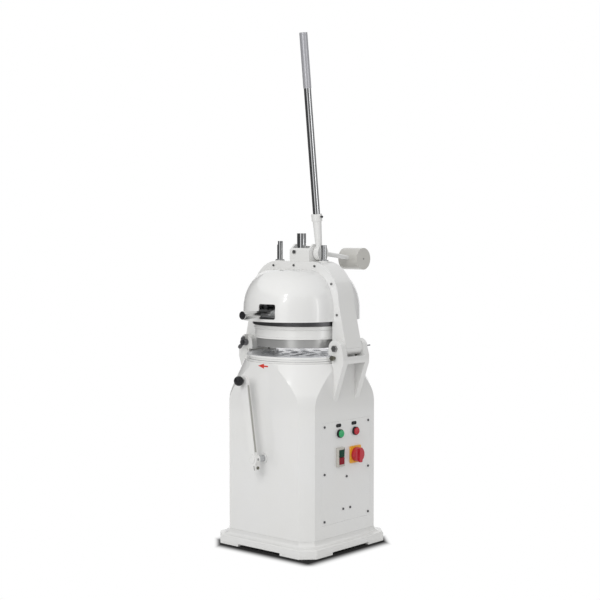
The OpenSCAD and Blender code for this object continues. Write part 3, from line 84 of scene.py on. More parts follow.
class Wire:
    """A socket whose arithmetic adds Math nodes to its tree."""

    def __init__(self, graph: "Graph", socket: bpy.types.NodeSocket) -> None:
        """Keeps the tree and the socket that carries the value."""
        self.graph = graph
        self.socket = socket

    def _math(self, operation: str, first: Any, second: Any) -> "Wire":
        """Adds one Math node and returns its result."""
        return self.graph.node("ShaderNodeMath", {"operation": operation}, {0: first, 1: second})

    def __add__(self, other: Any) -> "Wire":
        """Sum with a value or wire."""
        return self._math("ADD", self, other)

    __radd__ = __add__

    def __sub__(self, other: Any) -> "Wire":
        """Difference from a value or wire."""
        return self._math("SUBTRACT", self, other)

    def __rsub__(self, other: Any) -> "Wire":
        """A value less this wire."""
        return self._math("SUBTRACT", other, self)

    def __mul__(self, other: Any) -> "Wire":
        """Product with a value or wire."""
        return self._math("MULTIPLY", self, other)

    __rmul__ = __mul__

    def __truediv__(self, other: Any) -> "Wire":
        """Quotient by a value or wire."""
        return self._math("DIVIDE", self, other)

    def __rtruediv__(self, other: Any) -> "Wire":
        """A value divided by this wire."""
        return self._math("DIVIDE", other, self)

    def __pow__(self, other: Any) -> "Wire":
        """Power of a value or wire."""
        return self._math("POWER", self, other)

    def at_least(self, other: Any) -> "Wire":
        """The larger of this wire and a value or wire."""
        return self._math("MAXIMUM", self, other)

    def size(self) -> "Wire":
        """This wire without its sign."""
        return self.graph.node("ShaderNodeMath", {"operation": "ABSOLUTE"}, {0: self})


class Graph:
    """A node tree that is filled by expressions."""

    def __init__(self, tree: bpy.types.NodeTree) -> None:
        """Keeps the tree that the nodes go into."""
        self.tree = tree

    def node(
        self,
        kind: str,
        settings: Mapping[str, Any] | None = None,
        inputs: Mapping[Any, Any] | None = None,
        output: Any = 0,
    ) -> Wire | None:
        """Adds one node.

        Args:
            kind: Blender's name for the node's type.
            settings: the node's own settings, set first; stops are a colour ramp's.
            inputs: values or wires by socket name or number.
            output: name or number of the socket to return, or None for a node without one.

        Returns:
            The chosen output as a wire, or None.
        """
        made = self.tree.nodes.new(kind)
        for name, value in (settings or {}).items():
            if name == "stops":
                while len(made.color_ramp.elements) < len(value):
                    made.color_ramp.elements.new(0.5)
                for stop, (place, shade) in zip(made.color_ramp.elements, value):
                    stop.position = place
                    stop.color = (shade, shade, shade, 1.0)
            else:
                setattr(made, name, value)
        for key, value in (inputs or {}).items():
            if isinstance(value, Wire):
                self.tree.links.new(value.socket, made.inputs[key])
            else:
                made.inputs[key].default_value = value
        return None if output is None else Wire(self, made.outputs[output])

    def noise(self, place: Wire, scale: float, detail: float = 2.0) -> Wire:
        """Soft noise with that many features to the metre."""
        return self.node("ShaderNodeTexNoise", inputs={"Vector": place, "Scale": scale, "Detail": detail})

    def stretched(self, place: Wire, scale: Point) -> Wire:
        """The place scaled apart along its three axes."""
        return self.node("ShaderNodeMapping", inputs={"Vector": place, "Scale": scale})

    def ramp(self, value: Wire, *stops: tuple[float, float]) -> Wire:
        """Grey ramp over a value, from stops of place and shade."""
        return self.node("ShaderNodeValToRGB", {"stops": stops}, {"Fac": value})

    def mix(self, share: Any, first: Any, second: Any) -> Wire:
        """Blend of two colours by a share."""
        pair = [(*c, 1.0) if isinstance(c, tuple) and len(c) == 3 else c for c in (first, second)]
        return self.node("ShaderNodeMix", {"data_type": "RGBA"}, {0: share, 6: pair[0], 7: pair[1]}, 2)

    def bump(self, height: Wire, depth: float) -> Wire:
        """Normal from a height of that depth in metres."""
        return self.node("ShaderNodeBump", inputs={"Strength": 1.0, "Distance": depth, "Height": height})

    def part(self, place: Wire, axis: str) -> Wire:
        """One coordinate of a place."""
        return self.node("ShaderNodeSeparateXYZ", inputs={0: place}, output=axis)


def blank_material(name: str) -> tuple[bpy.types.Material, Graph]:
    """A new material and its empty tree."""
    made = bpy.data.materials.new(name)
    made.use_nodes = True
    made.node_tree.nodes.clear()
    return made, Graph(made.node_tree)


def linked(name: str, data: Any) -> bpy.types.Object:
    """A new object in the scene."""
    made = bpy.data.objects.new(name, data)
    bpy.context.scene.collection.objects.link(made)
    return made


def meshed(form: bmesh.types.BMesh, name: str) -> bpy.types.Mesh:
    """A form as a new mesh; the form is used up."""
    mesh = bpy.data.meshes.new(name)
    form.to_mesh(mesh)
    form.free()
    return mesh


class Grain(Enum):
    """Direction of a metal's machining lines."""

    ALONG_X = (1.0, 60.0, 60.0)
    ALONG_Y = (60.0, 1.0, 60.0)
    ALONG_Z = (60.0, 60.0, 1.0)
    ROUND_Z = (1.0, 1.0, 60.0)
    TURNED = (0.0, 0.0, 0.0)


@dataclass(frozen=True)
class Finish:
    """A named surface finish."""

    name: str
    colour: Colour

    def surface(self, graph: Graph, place: Wire) -> Wire:
        """Builds the shader and returns it."""
        raise NotImplementedError

    def material(self) -> bpy.types.Material:
        """The finish as a material, made once."""
        made = bpy.data.materials.get(self.name)
        if made is None:
            made, graph = blank_material(self.name)
            place = graph.node("ShaderNodeTexCoord", output="Object")
            shader = self.surface(graph, place)
            graph.node("ShaderNodeOutputMaterial", inputs={"Surface": shader}, output=None)
        return made


@dataclass(frozen=True)
class Enamel(Finish):
    """Sprayed gloss enamel, with a peel and the lumps of what lies under it."""

    gloss: float = 0.34
    lumps: float = 0.0
    scuffed_below: float = 0.0

    def surface(self, graph: Graph, place: Wire) -> Wire:
        """Builds the shader and returns it."""
        tone = graph.noise(place, 4.0, 3.0)
        cream = tuple(c * f for c, f in zip(self.colour, (0.985, 0.982, 0.97)))
        colour = graph.mix(graph.ramp(tone, (0.35, 0.0), (0.68, 1.0)), self.colour, cream)
        rough = self.gloss + (graph.noise(place, 22.0, 4.0) - 0.5) * 0.08
        height = graph.noise(place, 260.0) * 0.05 + graph.noise(place, 38.0, 3.0) * self.lumps
        if self.scuffed_below:
            low = graph.ramp(graph.part(place, "Z") / self.scuffed_below, (0.2, 1.0), (1.0, 0.0))
            marks = graph.noise(graph.stretched(place, (1.0, 1.0, 5.0)), 34.0, 6.0)
            scuff = graph.ramp(marks, (0.56, 0.0), (0.66, 1.0)) * low
            colour = graph.mix(scuff * 0.4, colour, (0.46, 0.45, 0.43))
            rough = rough + scuff * 0.22
        return graph.node(
            "ShaderNodeBsdfPrincipled",
            inputs={
                "Base Color": colour,
                "Roughness": rough,
                "IOR": 1.5,
                "Coat Weight": 0.8,
                "Coat Roughness": 0.07,
                "Normal": graph.bump(height, 0.0004),
            },
        )


@dataclass(frozen=True)
class Metal(Finish):
    """Machined, drawn or polished metal with lines in one direction."""

    rough: float = 0.3
    grain: Grain = Grain.ALONG_Z
    lines: float = 0.10
    depth: float = 0.00006
    bare: float = 1.0

    def surface(self, graph: Graph, place: Wire) -> Wire:
        """Builds the shader and returns it."""
        if self.grain is Grain.TURNED:
            across = graph.part(place, "X") ** 2.0 + graph.part(place, "Y") ** 2.0
            rings = graph.node("ShaderNodeCombineXYZ", inputs={0: across**0.5 * 60.0})
            line = graph.noise(rings, 14.0, 4.0)
        else:
            line = graph.noise(graph.stretched(place, self.grain.value), 14.0, 4.0)
        stain = graph.ramp(graph.noise(place, 16.0, 5.0), (0.4, 0.0), (0.75, 1.0))
        dull = tuple(c * 0.82 for c in self.colour)
        rough = self.rough + (line - 0.5) * self.lines + stain * (0.5 * self.lines)
        inputs = {
            "Base Color": graph.mix(stain * 0.6, self.colour, dull),
            "Metallic": self.bare,
            "Roughness": rough,
        }
        if self.depth:
            inputs["Normal"] = graph.bump(line, self.depth)
        return graph.node("ShaderNodeBsdfPrincipled", inputs=inputs)


@dataclass(frozen=True)
class Plastic(Finish):
    """Moulded plastic or rubber with a fine grain."""

    rough: float = 0.35
    grain: float = 0.35
    worn: float = 0.12
    ior: float = 1.48

    def surface(self, graph: Graph, place: Wire) -> Wire:
        """Builds the shader and returns it."""
        patch = graph.ramp(graph.noise(place, 45.0, 4.0), (0.38, 0.0), (0.7, 1.0))
        pale = tuple(c + (1.0 - c) * self.worn * 0.5 for c in self.colour)
        height = graph.noise(place, 900.0) * self.grain + graph.noise(place, 120.0) * 0.2
        return graph.node(
            "ShaderNodeBsdfPrincipled",
            inputs={
                "Base Color": graph.mix(patch * 0.5, self.colour, pale),
                "Roughness": self.rough + patch * 0.1,
                "IOR": self.ior,
                "Normal": graph.bump(height, 0.0002),
            },
        )


GLOSS_WHITE = Enamel("white_gloss_enamel", (0.80, 0.80, 0.792))
CAST_WHITE = Enamel("white_enamel_on_casting", (0.80, 0.80, 0.79), 0.36, 0.12)
FOOT_WHITE = Enamel("white_enamel_on_plinth", (0.80, 0.80, 0.79), 0.36, 0.0, 0.016)
RING_WHITE = Enamel("white_coated_ring", (0.84, 0.84, 0.83), 0.30)
WEIGHT_CREAM = Enamel("cream_enamel_on_weight", (0.60, 0.59, 0.56), 0.38, 0.4)
CHROME = Metal("polished_chrome", (0.72, 0.73, 0.74), 0.05, Grain.ALONG_Z, 0.01, 0.0)
DRAWN_STEEL = Metal("machined_steel", (0.56, 0.57, 0.58), 0.30, Grain.ROUND_Z)
CROSS_STEEL = Metal("steel_turned_along_y", (0.56, 0.57, 0.58), 0.28, Grain.ALONG_X)
BLACK_STEEL = Metal("blackened_steel", (0.13, 0.13, 0.135), 0.38, Grain.ALONG_Y)
TURNED_ALUMINIUM = Metal("turned_aluminium", (0.62, 0.63, 0.65), 0.30, Grain.TURNED)
HANDLE_ALUMINIUM = Metal("polished_aluminium", (0.62, 0.62, 0.61), 0.14, Grain.ALONG_X, 0.05, 0.00001)
SLEEVE_ALUMINIUM = Metal("polished_sleeve", (0.62, 0.62, 0.61), 0.30, Grain.ROUND_Z, 0.08, 0.00004, 0.75)
PLATE_ALUMINIUM = Metal("worn_plate", (0.82, 0.83, 0.86), 0.20, Grain.TURNED, 0.06, 0.00003, 0.55)
WING_STEEL = Metal("dark_nut_steel", (0.19, 0.19, 0.20), 0.34, Grain.ALONG_Y, 0.1)
OLIVE_STEEL = Metal("oiled_steel", (0.20, 0.195, 0.16), 0.42, Grain.ALONG_Y, 0.1)
SCREW_STEEL = Metal("plated_screw", (0.30, 0.30, 0.30), 0.34, Grain.ALONG_Y, 0.1)
CAST_GREY = Metal("machined_casting", (0.36, 0.37, 0.38), 0.45, Grain.ROUND_Z, 0.12, 0.0002)
GRIP_GREY = Metal("satin_grip_sleeve", (0.55, 0.55, 0.58), 0.36, Grain.ALONG_Z, 0.06, 0.0, 0.5)
# Painted shade: dark grey sheet that stands for the shade inside the rounding arm's side recess.
WEB_PAINTED_SHADE = Plastic("web_painted_shade_grey", (0.38, 0.38, 0.35), 0.5, 0.5)
BLOCK_GREY = Plastic("grey_switch_block", (0.56, 0.54, 0.49), 0.38)
BOX_GREY = Plastic("pale_grey_box", (0.58, 0.58, 0.59), 0.45)
BLACK = Plastic("black_moulding", (0.016, 0.016, 0.018), 0.22, 0.1, 0.04, 1.28)
GREEN = Plastic("green_moulding", (0.025, 0.40, 0.14), 0.28, 0.1)
GREEN_KEY = Plastic("dark_green_key", (0.008, 0.05, 0.03), 0.3, 0.1, 0.03, 1.2)
RED = Plastic("red_moulding", (0.52, 0.014, 0.03), 0.28, 0.1)
RED_KEY = Plastic("dark_red_key", (0.26, 0.014, 0.026), 0.3, 0.1, 0.03, 1.2)
SIGNAL_RED = Plastic("red_sign_paint", (0.62, 0.035, 0.02), 0.4, 0.1)
YELLOW = Plastic("yellow_moulding", (0.86, 0.42, 0.02), 0.30, 0.15)
BELT = Plastic("belt_rubber_black", (0.02, 0.02, 0.02), 0.6, 0.8)
MOTOR_BLUE = Enamel("motor_blue_grey", (0.16, 0.22, 0.28), 0.4, 0.8)


class Shop:
    """Makes pieces from meshes and puts them on the frame's bodies."""

    def __init__(self, frame: Mapping[str, Any]) -> None:
        """Reads each node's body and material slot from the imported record."""
        self.nodes: dict[str, bpy.types.Object] = frame["nodes"]
        record = frame["record"]
        bodies = record["behaviour"]["bodies"]
        self.bodies = {node: body for body, members in bodies.items() for node in members}
        self.slots = {row["node"]: row["material_slot"] for row in record["subparts"]}

    def dress(self, finish: Finish, *nodes: str) -> None:
        """Gives CAD nodes a finish in place of their plain colour."""
        for node in nodes:
            mesh = self.nodes[node].data
            mesh.materials.clear()
            mesh.materials.append(finish.material())
            LOG.info("dressed %s with %s", node, finish.name)

    def add(
        self, name: str, mesh: bpy.types.Mesh, finish: Finish, body: str, slot: str, *nodes: str
    ) -> bpy.types.Object:
        """Puts a finished mesh on a body.

        Args:
            name: the piece's name.
            mesh: its mesh, already in place.
            finish: its finish.
            body: the CAD body that it rides on.
            slot: the record's material slot; not used.
            nodes: the CAD nodes that it stands for.

        Returns:
            The new object.
        """
        piece = linked(name, mesh)
        mesh.materials.clear()
        mesh.materials.append(finish.material())
        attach(piece, body)
        if nodes:
            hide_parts(*nodes)
        LOG.info("made %s with %d faces on %s", name, len(mesh.polygons), body)
        return piece

    def stand_in(self, node: str, mesh: bpy.types.Mesh, finish: Finish) -> bpy.types.Object:
        """Puts a mesh in place of one CAD node."""
        return self.add(f"{node}_piece", mesh, finish, self.bodies[node], self.slots[node], node)

    def soften(self, finish: Finish, width: float, *nodes: str, segments: int = 3) -> None:
        """Replaces CAD nodes by copies with rounded edges.

        Args:
            finish: the copies' finish.
            width: width of the rounding.
            nodes: the CAD nodes.
            segments: facets across a rounding.
        """
        for node in nodes:
            self.stand_in(node, self.rounded(node, width, segments), finish)

    def rounded(self, node: str, width: float, segments: int = 3) -> bpy.types.Mesh:
        """Copy of a CAD node's mesh with rounded edges.

        Args:
            node: the CAD node.
            width: width of the rounding.
            segments: facets across a rounding.

        Returns:
            The new mesh.
        """
        form = bmesh.new()
        form.from_mesh(self.nodes[node].data)
        bmesh.ops.remove_doubles(form, verts=form.verts, dist=WELD)
        bmesh.ops.dissolve_limit(
            form, angle_limit=FLAT_ANGLE, verts=form.verts, edges=form.edges, delimit=set()
        )
        return rounded_edges(meshed(form, f"{node}_blank"), f"{node}_rounded", width, segments)


def rounded_edges(
    mesh: bpy.types.Mesh, name: str, width: float, segments: int = 3, angle: float = 32.0
) -> bpy.types.Mesh:
    """Rounds a mesh's edges and shades it smooth.

    Args:
        mesh: the blank, which is used up.
        name: the new mesh's name.
        width: width of the rounding.
        segments: facets across a rounding.
        angle: least angle between faces, in degrees, of an edge that is rounded.

    Returns:
        The finished mesh.
    """
    mesh.materials.clear()
    mesh.shade_smooth()
    blank = linked(name, mesh)
    edge = blank.modifiers.new("edge", "BEVEL")
    edge.width = width
    edge.segments = segments
    edge.limit_method = "ANGLE"
    edge.angle_limit = math.radians(angle)
    edge.use_clamp_overlap = True
    edge.harden_normals = False
    even = blank.modifiers.new("even", "WEIGHTED_NORMAL")
    even.keep_sharp = True
    made = bpy.data.meshes.new_from_object(blank.evaluated_get(bpy.context.evaluated_depsgraph_get()))
    made.name = name
    bpy.data.objects.remove(blank)
    bpy.data.meshes.remove(mesh)
    return made


def lathe(name: str, profile: Line, turn: Matrix, steps: int = 64) -> bpy.types.Mesh:
    """Turns a profile about Z and moves it into place.

    Args:
        name: the mesh's name.
        profile: radius and height of each point, from the low middle out and up to the top middle.
        turn: where the turned form goes.
        steps: facets round the axis.

    Returns:
        The closed mesh, shaded smooth but for its sharp edges.
    """
    form = bmesh.new()
    rows = []
    for radius, height in profile:
        angles = [math.tau * k / steps for k in range(steps)]
        rows.append([form.verts.new((radius * math.cos(a), radius * math.sin(a), height)) for a in angles])
    for low, high in zip(rows, rows[1:]):
        for k in range(steps):
            form.faces.new((low[k], low[(k + 1) % steps], high[(k + 1) % steps], high[k]))
    bmesh.ops.remove_doubles(form, verts=form.verts, dist=1e-7)
    bmesh.ops.recalc_face_normals(form, faces=form.faces)
    form.transform(turn)
    mesh = meshed(form, name)
    mesh.shade_smooth()
    mesh.set_sharp_from_angle(angle=SHARP_ANGLE)
    return mesh


def islands(form: bmesh.types.BMesh) -> list[list[bmesh.types.BMVert]]:
    """The loose shells of a form, each as its points."""
    left = set(form.verts)
    found = []
    while left:
        shell = [left.pop()]
        for point in shell:
            near = {edge.other_vert(point) for edge in point.link_edges} & left
            left -= near
            shell.extend(near)
        found.append(shell)
    return found


def parted(mesh: bpy.types.Mesh, name: str, kept: Callable[[Vector], bool]) -> bpy.types.Mesh:
    """The loose shells of a mesh whose middle is kept.

    Args:
        mesh: the mesh of several shells, which stays as it is.
        name: the new mesh's name.
        kept: tells from a shell's middle whether it stays.

    Returns:
        A new mesh of those shells, with their smooth shading.
    """
    made = mesh.copy()
    made.name = name
    form = bmesh.new()
    form.from_mesh(made)
    for shell in islands(form):
        if not kept(sum((point.co for point in shell), Vector()) / len(shell)):
            bmesh.ops.delete(form, geom=shell, context="VERTS")
    form.to_mesh(made)
    form.free()
    return made


def plate(name: str, outline: Line, depth: float, turn: Matrix) -> bpy.types.Mesh:
    """Cuts a plate from an outline and moves it into place.

    Args:
        name: the mesh's name.
        outline: its corners in X and Y, anticlockwise.
        depth: its thickness along Z.
        turn: where the plate goes.

    Returns:
        The closed mesh.
    """
    form = bmesh.new()
    low = [form.verts.new((x, y, 0.0)) for x, y in outline]
    high = [form.verts.new((x, y, depth)) for x, y in outline]
    form.faces.new(list(reversed(low)))
    form.faces.new(high)
    for k in range(len(outline)):
        n = (k + 1) % len(outline)
        form.faces.new((low[k], low[n], high[n], high[k]))
    form.transform(turn)
    bmesh.ops.recalc_face_normals(form, faces=form.faces)
    return meshed(form, name)


@dataclass
class Studio:
    """Camera, lamps, white ground and background."""

    bearing: float = 0.717289523
    distance: float = 5.46807637
    height: float = 1.30141177
    tilt: float = 0.0530401182
    swing: float = 0.00121462359
    lens: float = 78.7475946
    aim: Point = (0.0, 0.0, 0.95)
    flag_foot: float = -0.4
    flag_top: float = 3.4
    plain_level: float = 0.65
    ground_half: float = 12.0
    plinth_half: float = 0.265
    plinth_corner: float = 0.483
    # Shape of the painted shadow on the ground round the plinth.
    shade_lean: Point = (0.018, -0.021, 0.0)
    shade_reach: float = 0.06
    shade_sides: float = 1.6

    def camera(self) -> None:
        """Places the camera at the photograph's angle."""
        data = bpy.data.cameras.new("view")
        data.lens = self.lens
        data.sensor_width = 36.0
        view = linked("view", data)
        view.location = (
            self.distance * math.sin(self.bearing),
            -self.distance * math.cos(self.bearing),
            self.height,
        )
        view.rotation_euler = (math.pi / 2 - self.tilt, 0.0, self.bearing + self.swing)
        bpy.context.scene.camera = view

    def lamp(
        self,
        name: str,
        azimuth: float,
        rise: float,
        reach: float,
        size: tuple[float, float],
        power: float,
        shines: bool = True,
    ) -> None:
        """Hangs one soft box that faces the machine.

        Args:
            name: the lamp's name.
            azimuth: bearing from the front towards the right, in degrees.
            rise: elevation in degrees.
            reach: distance from the machine's middle.
            size: width and height.
            power: watts.
            shines: whether it shows in gloss.
        """
        data = bpy.data.lights.new(name, "AREA")
        data.shape = "RECTANGLE"
        data.size, data.size_y = size
        data.energy = power
        box = linked(name, data)
        a, e = math.radians(azimuth), math.radians(rise)
        back = Vector((math.sin(a) * math.cos(e), -math.cos(a) * math.cos(e), math.sin(e)))
        box.location = Vector(self.aim) + back * reach
        box.rotation_euler = (-back).to_track_quat("-Z", "Y").to_euler()
        box.visible_glossy = shines

    def lamps(self) -> None:
        """Hangs the soft boxes."""
        self.lamp("key", 12.0, 17.0, 2.3, (1.6, 1.4), 17.0, False)
        self.lamp("front_strip", 19.0, 26.0, 3.2, (0.22, 1.0), 7.0)
        self.lamp("right_strip", 92.0, 6.0, 3.4, (0.30, 1.8), 5.5)
        self.lamp("rear_fill", 165.0, 8.0, 3.0, (1.6, 1.2), 9.0, False)

    def flag(self, name: str, start: float, stop: float, shade: float, reach: float = 4.4) -> None:
        """Stands a dark curved flag round the machine, which shows in polished metal alone.

        Args:
            name: the flag's name.
            start: bearing of one side, from the front towards the right, in degrees.
            stop: bearing of its other side.
            shade: its brightness.
            reach: its distance from the press axis.
        """
        form = bmesh.new()
        steps = round((stop - start) / 6.0)
        bearings = [math.radians(start + (stop - start) * k / steps) for k in range(steps + 1)]
        feet = [(reach * math.sin(a), -reach * math.cos(a)) for a in bearings]
        rows = [[form.verts.new((*foot, z)) for z in (self.flag_foot, self.flag_top)] for foot in feet]
        for (low, high), (next_low, next_high) in zip(rows, rows[1:]):
            form.faces.new((low, high, next_high, next_low))
        mesh = meshed(form, name)
        made, graph = blank_material(name)
        grey = (shade, shade, shade, 1.0)
        cloth = graph.node("ShaderNodeEmission", inputs={"Color": grey, "Strength": 1.0})
        graph.node("ShaderNodeOutputMaterial", inputs={"Surface": cloth}, output=None)
        mesh.materials.append(made)
        flag = linked(name, mesh)
        flag.visible_camera = False
        flag.visible_diffuse = False
        flag.visible_transmission = False
        flag.visible_shadow = False

    def flags(self) -> None:
        """Stands the flags with gaps at the two strips."""
        self.flag("left_flag", -118.0, 6.0, 0.07)
        self.flag("view_flag", 26.0, 82.0, 0.20)
        self.flag("right_flag", 102.0, 194.0, 0.25)

    def white_to_view(self, graph: Graph) -> Wire:
        """One where a ray from the view, or a mirrored or passed one, asks for the background."""
        path = {"kind": "ShaderNodeLightPath"}
        seen = graph.node(**path, output="Is Camera Ray")
        shiny = graph.node(**path, output="Is Glossy Ray")
        passed = graph.node(**path, output="Is Transmission Ray")
        return graph.node("ShaderNodeClamp", inputs={"Value": seen + shiny + passed})

    def world(self) -> None:
        """White background, with a plain level of light from all sides."""
        world = bpy.data.worlds.new("studio")
        world.use_nodes = True
        world.node_tree.nodes.clear()
        graph = Graph(world.node_tree)
        level = self.plain_level + self.white_to_view(graph) * (1.0 - self.plain_level)
        shade = graph.node("ShaderNodeBackground", inputs={"Color": PURE_WHITE, "Strength": level})
        graph.node("ShaderNodeOutputWorld", inputs={"Surface": shade}, output=None)
        bpy.context.scene.world = world

    def past_plinth(self, graph: Graph, place: Wire) -> Wire:
        """Distance past the plinth's square, which leans to the front and ends soon at the side corners: the
        reach of the painted shadow.
        """
        moved = graph.node("ShaderNodeVectorMath", {"operation": "SUBTRACT"}, {0: place, 1: self.shade_lean})
        side = graph.node("ShaderNodeVectorMath", {"operation": "ABSOLUTE"}, {0: moved})
        past_x = (graph.part(side, "X") - self.plinth_half).at_least(0.0)
        past_y = (graph.part(side, "Y") - self.plinth_half).at_least(0.0)
        square = (past_x**2.0 + past_y**2.0) ** 0.5
        across = (graph.part(place, "X") + graph.part(place, "Y")).size()
        return square.at_least((across - self.plinth_corner) * self.shade_sides)

    def floor(self) -> None:
        """White ground that keeps the shadow round the plinth, with painted shadow: near the plinth its
        colour for camera rays goes dark.
        """
        form = bmesh.new()
        bmesh.ops.create_grid(form, x_segments=4, y_segments=4, size=self.ground_half)
        mesh = meshed(form, "ground")
        made, graph = blank_material("white_ground")
        place = graph.node("ShaderNodeTexCoord", output="Object")
        away = self.past_plinth(graph, place)
        open_ground = graph.ramp(away / self.shade_reach, (0.0, 0.005), (0.3, 0.22), (0.7, 0.78), (1.0, 1.0))
        grain = graph.noise(place, 30.0, 3.0)
        pale = graph.mix(grain * 0.1, (0.72, 0.72, 0.72), (0.68, 0.68, 0.68))
        seen = graph.node("ShaderNodeLightPath", output="Is Camera Ray")
        # Painted shadow: for camera rays the ground's colour goes dark near the plinth.
        painted_shadow = graph.ramp((away + 0.02) / 0.08, (0.0, 0.02), (0.35, 0.03), (0.65, 0.16), (1.0, 0.4))
        matt = graph.node("ShaderNodeBsdfDiffuse", inputs={"Color": graph.mix(seen, pale, painted_shadow)})
        white = graph.node("ShaderNodeEmission", inputs={"Color": PURE_WHITE, "Strength": 1.0})
        share = open_ground * self.white_to_view(graph)
        shade = graph.node("ShaderNodeMixShader", inputs={0: share, 1: matt, 2: white})
        graph.node("ShaderNodeOutputMaterial", inputs={"Surface": shade}, output=None)
        mesh.materials.append(made)
        ground = linked("ground", mesh)

    def build(self) -> None:
        """Sets up the whole studio."""
        bpy.context.scene.view_settings.view_transform = "Standard"
        self.camera()
        self.lamps()
        self.flags()
        self.world()
        self.floor()


@dataclass
class Cabinet:
    """Plinth, casing, panel, table rim and what stands inside."""

    shop: Shop
    edge: float = 0.004
    plinth_edge: float = 0.006
    panel_edge: float = 0.0012
    box_edge: float = 0.003
    gland_edge: float = 0.0015
    arrow_at: Point = (-0.002, -0.236, 0.7525)
    arrow_thick: float = 0.0006
    arrow_edge: float = 0.0002
    arrow_line: tuple[tuple[float, float], ...] = (
        (-0.027, 0.0),
        (0.006, -0.010),
        (0.006, -0.003),
        (0.028, -0.003),
        (0.028, 0.003),
        (0.006, 0.003),
        (0.006, 0.010),
    )

    def arrow(self) -> None:
        """Fixes the plain arrow to the front, under the table."""
        turn = Matrix.Translation(self.arrow_at) @ Matrix.Rotation(math.pi / 2, 4, "X")
        mesh = plate("turning_arrow_blank", self.arrow_line, self.arrow_thick, turn)
        mesh = rounded_edges(mesh, "turning_arrow_cut", self.arrow_edge, 2)
        self.shop.add("turning_arrow", mesh, SIGNAL_RED, self.shop.bodies["cabinet_shell"], "red_plastic")

    def build(self) -> None:
        """Dresses the casing and its inside."""
        self.arrow()
        self.shop.soften(FOOT_WHITE, self.plinth_edge, "base_plinth", segments=4)
        self.shop.soften(GLOSS_WHITE, self.edge, "cabinet_shell")
        self.shop.soften(GLOSS_WHITE, self.panel_edge, "control_panel", "table_rim")
        self.shop.dress(DRAWN_STEEL, "drive_plate", "shaft_bearings")
        self.shop.dress(CAST_GREY, "bearing_housing")
        self.shop.dress(MOTOR_BLUE, "drive_motor")
        self.shop.dress(BELT, "drive_belt")
        self.shop.soften(BOX_GREY, self.box_edge, "electrical_box")
        self.shop.soften(BLACK, self.gland_edge, "cable_gland")


@dataclass
class Hinges:
    """Brackets of the tilting head with their pins, bolts and wing nuts."""

    shop: Shop
    edge: float = 0.0035
    pin_edge: float = 0.001
    nut_edge: float = 0.0015

    def bolts(self) -> None:
        """Puts the bracket bolts in, the left front one painted over with its bracket."""
        whole = self.shop.rounded("bracket_bolts", self.pin_edge)
        painted = parted(whole, "bracket_bolt_painted_form", lambda at: at.x < 0.0 and at.y < 0.0)
        bare = parted(whole, "bracket_bolts_bare_form", lambda at: at.x > 0.0 or at.y > 0.0)
        bpy.data.meshes.remove(whole)
        body, slot = self.shop.bodies["bracket_bolts"], self.shop.slots["bracket_bolts"]
        self.shop.add("bracket_bolts_bare", bare, OLIVE_STEEL, body, slot, "bracket_bolts")
        self.shop.add("bracket_bolt_painted", painted, CAST_WHITE, body, "white_casting")

    def build(self) -> None:
        """Dresses both brackets."""
        self.shop.soften(CAST_WHITE, self.edge, "hinge_bracket_left", "hinge_bracket_right")
        self.bolts()
        self.shop.soften(SCREW_STEEL, self.pin_edge, "hinge_pin_right")
        self.shop.soften(WING_STEEL, self.pin_edge, "locking_pin_left")
        self.shop.soften(WING_STEEL, self.nut_edge, "wing_nut_left", "wing_nut_right")


@dataclass
class Controls:
    """Buttons, key block, main switch and their plates."""

    shop: Shop
    bezel_edge: float = 0.0008
    block_edge: float = 0.0015
    knob_edge: float = 0.002
    label_edge: float = 0.0004
    dish: float = 0.0012
    cap_edge: float = 0.0022
    cap_thick: float = 0.009
    stem_r: float = 0.0077

    def cap(self, node: str, finish: Finish) -> None:
        """Turns a push button on its stem, with a rounded edge and a dished face."""
        low, high = (Vector(corner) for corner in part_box(node))
        radius = (high.y - low.y) / 2
        length = high.x - low.x
        edge = self.cap_edge
        curve = [math.radians(15.0 * k) for k in range(7)]
        shoulder = [(radius - edge + edge * math.cos(a), length - edge + edge * math.sin(a)) for a in curve]
        face = [(radius - edge) * (1.0 - k / 8.0) for k in range(1, 9)]
        bowl = [(r, length - self.dish * (1.0 - (r / (radius - edge)) ** 2)) for r in face]
        under = length - self.cap_thick
        stem = [(0.0, 0.0), (self.stem_r, 0.0), (self.stem_r, under)]
        profile = [*stem, (radius, under), *shoulder, *bowl]
        at = Vector((low.x, (low.y + high.y) / 2, (low.z + high.z) / 2))
        turn = Matrix.Translation(at) @ Matrix.Rotation(math.pi / 2, 4, "Y")
        self.shop.stand_in(node, lathe(f"{node}_cap", profile, turn), finish)

    def build(self) -> None:
        """Dresses the controls on the right side."""
        self.shop.soften(BLACK, self.bezel_edge, "button_bezels")
        self.cap("green_button", GREEN)
        self.cap("red_button", RED)
        self.shop.soften(GREEN_KEY, self.block_edge, "start_key")
        self.shop.soften(RED_KEY, self.block_edge, "stop_key")
        self.shop.soften(BLOCK_GREY, self.block_edge, "key_block")
        self.shop.soften(YELLOW, self.block_edge, "main_switch_plate")
        self.shop.soften(RED, self.knob_edge, "main_switch_knob")
        self.shop.soften(BLACK, self.label_edge, "label_plates")


@dataclass
class Head:
    """Yoke, half domes, pinion housing and their small parts."""

    shop: Shop
    edge: float = 0.003
    cover_edge: float = 0.0008

    def build(self) -> None:
        """Dresses the tilting head."""
        self.shop.soften(CAST_WHITE, self.edge, "head_yoke", "pinion_housing")
        self.shop.soften(GLOSS_WHITE, self.cover_edge, "front_cover", "rear_cover", segments=2)
        self.shop.soften(DRAWN_STEEL, self.cover_edge, "guide_bushes")
        self.shop.dress(BLACK_STEEL, "cutter_shelf")


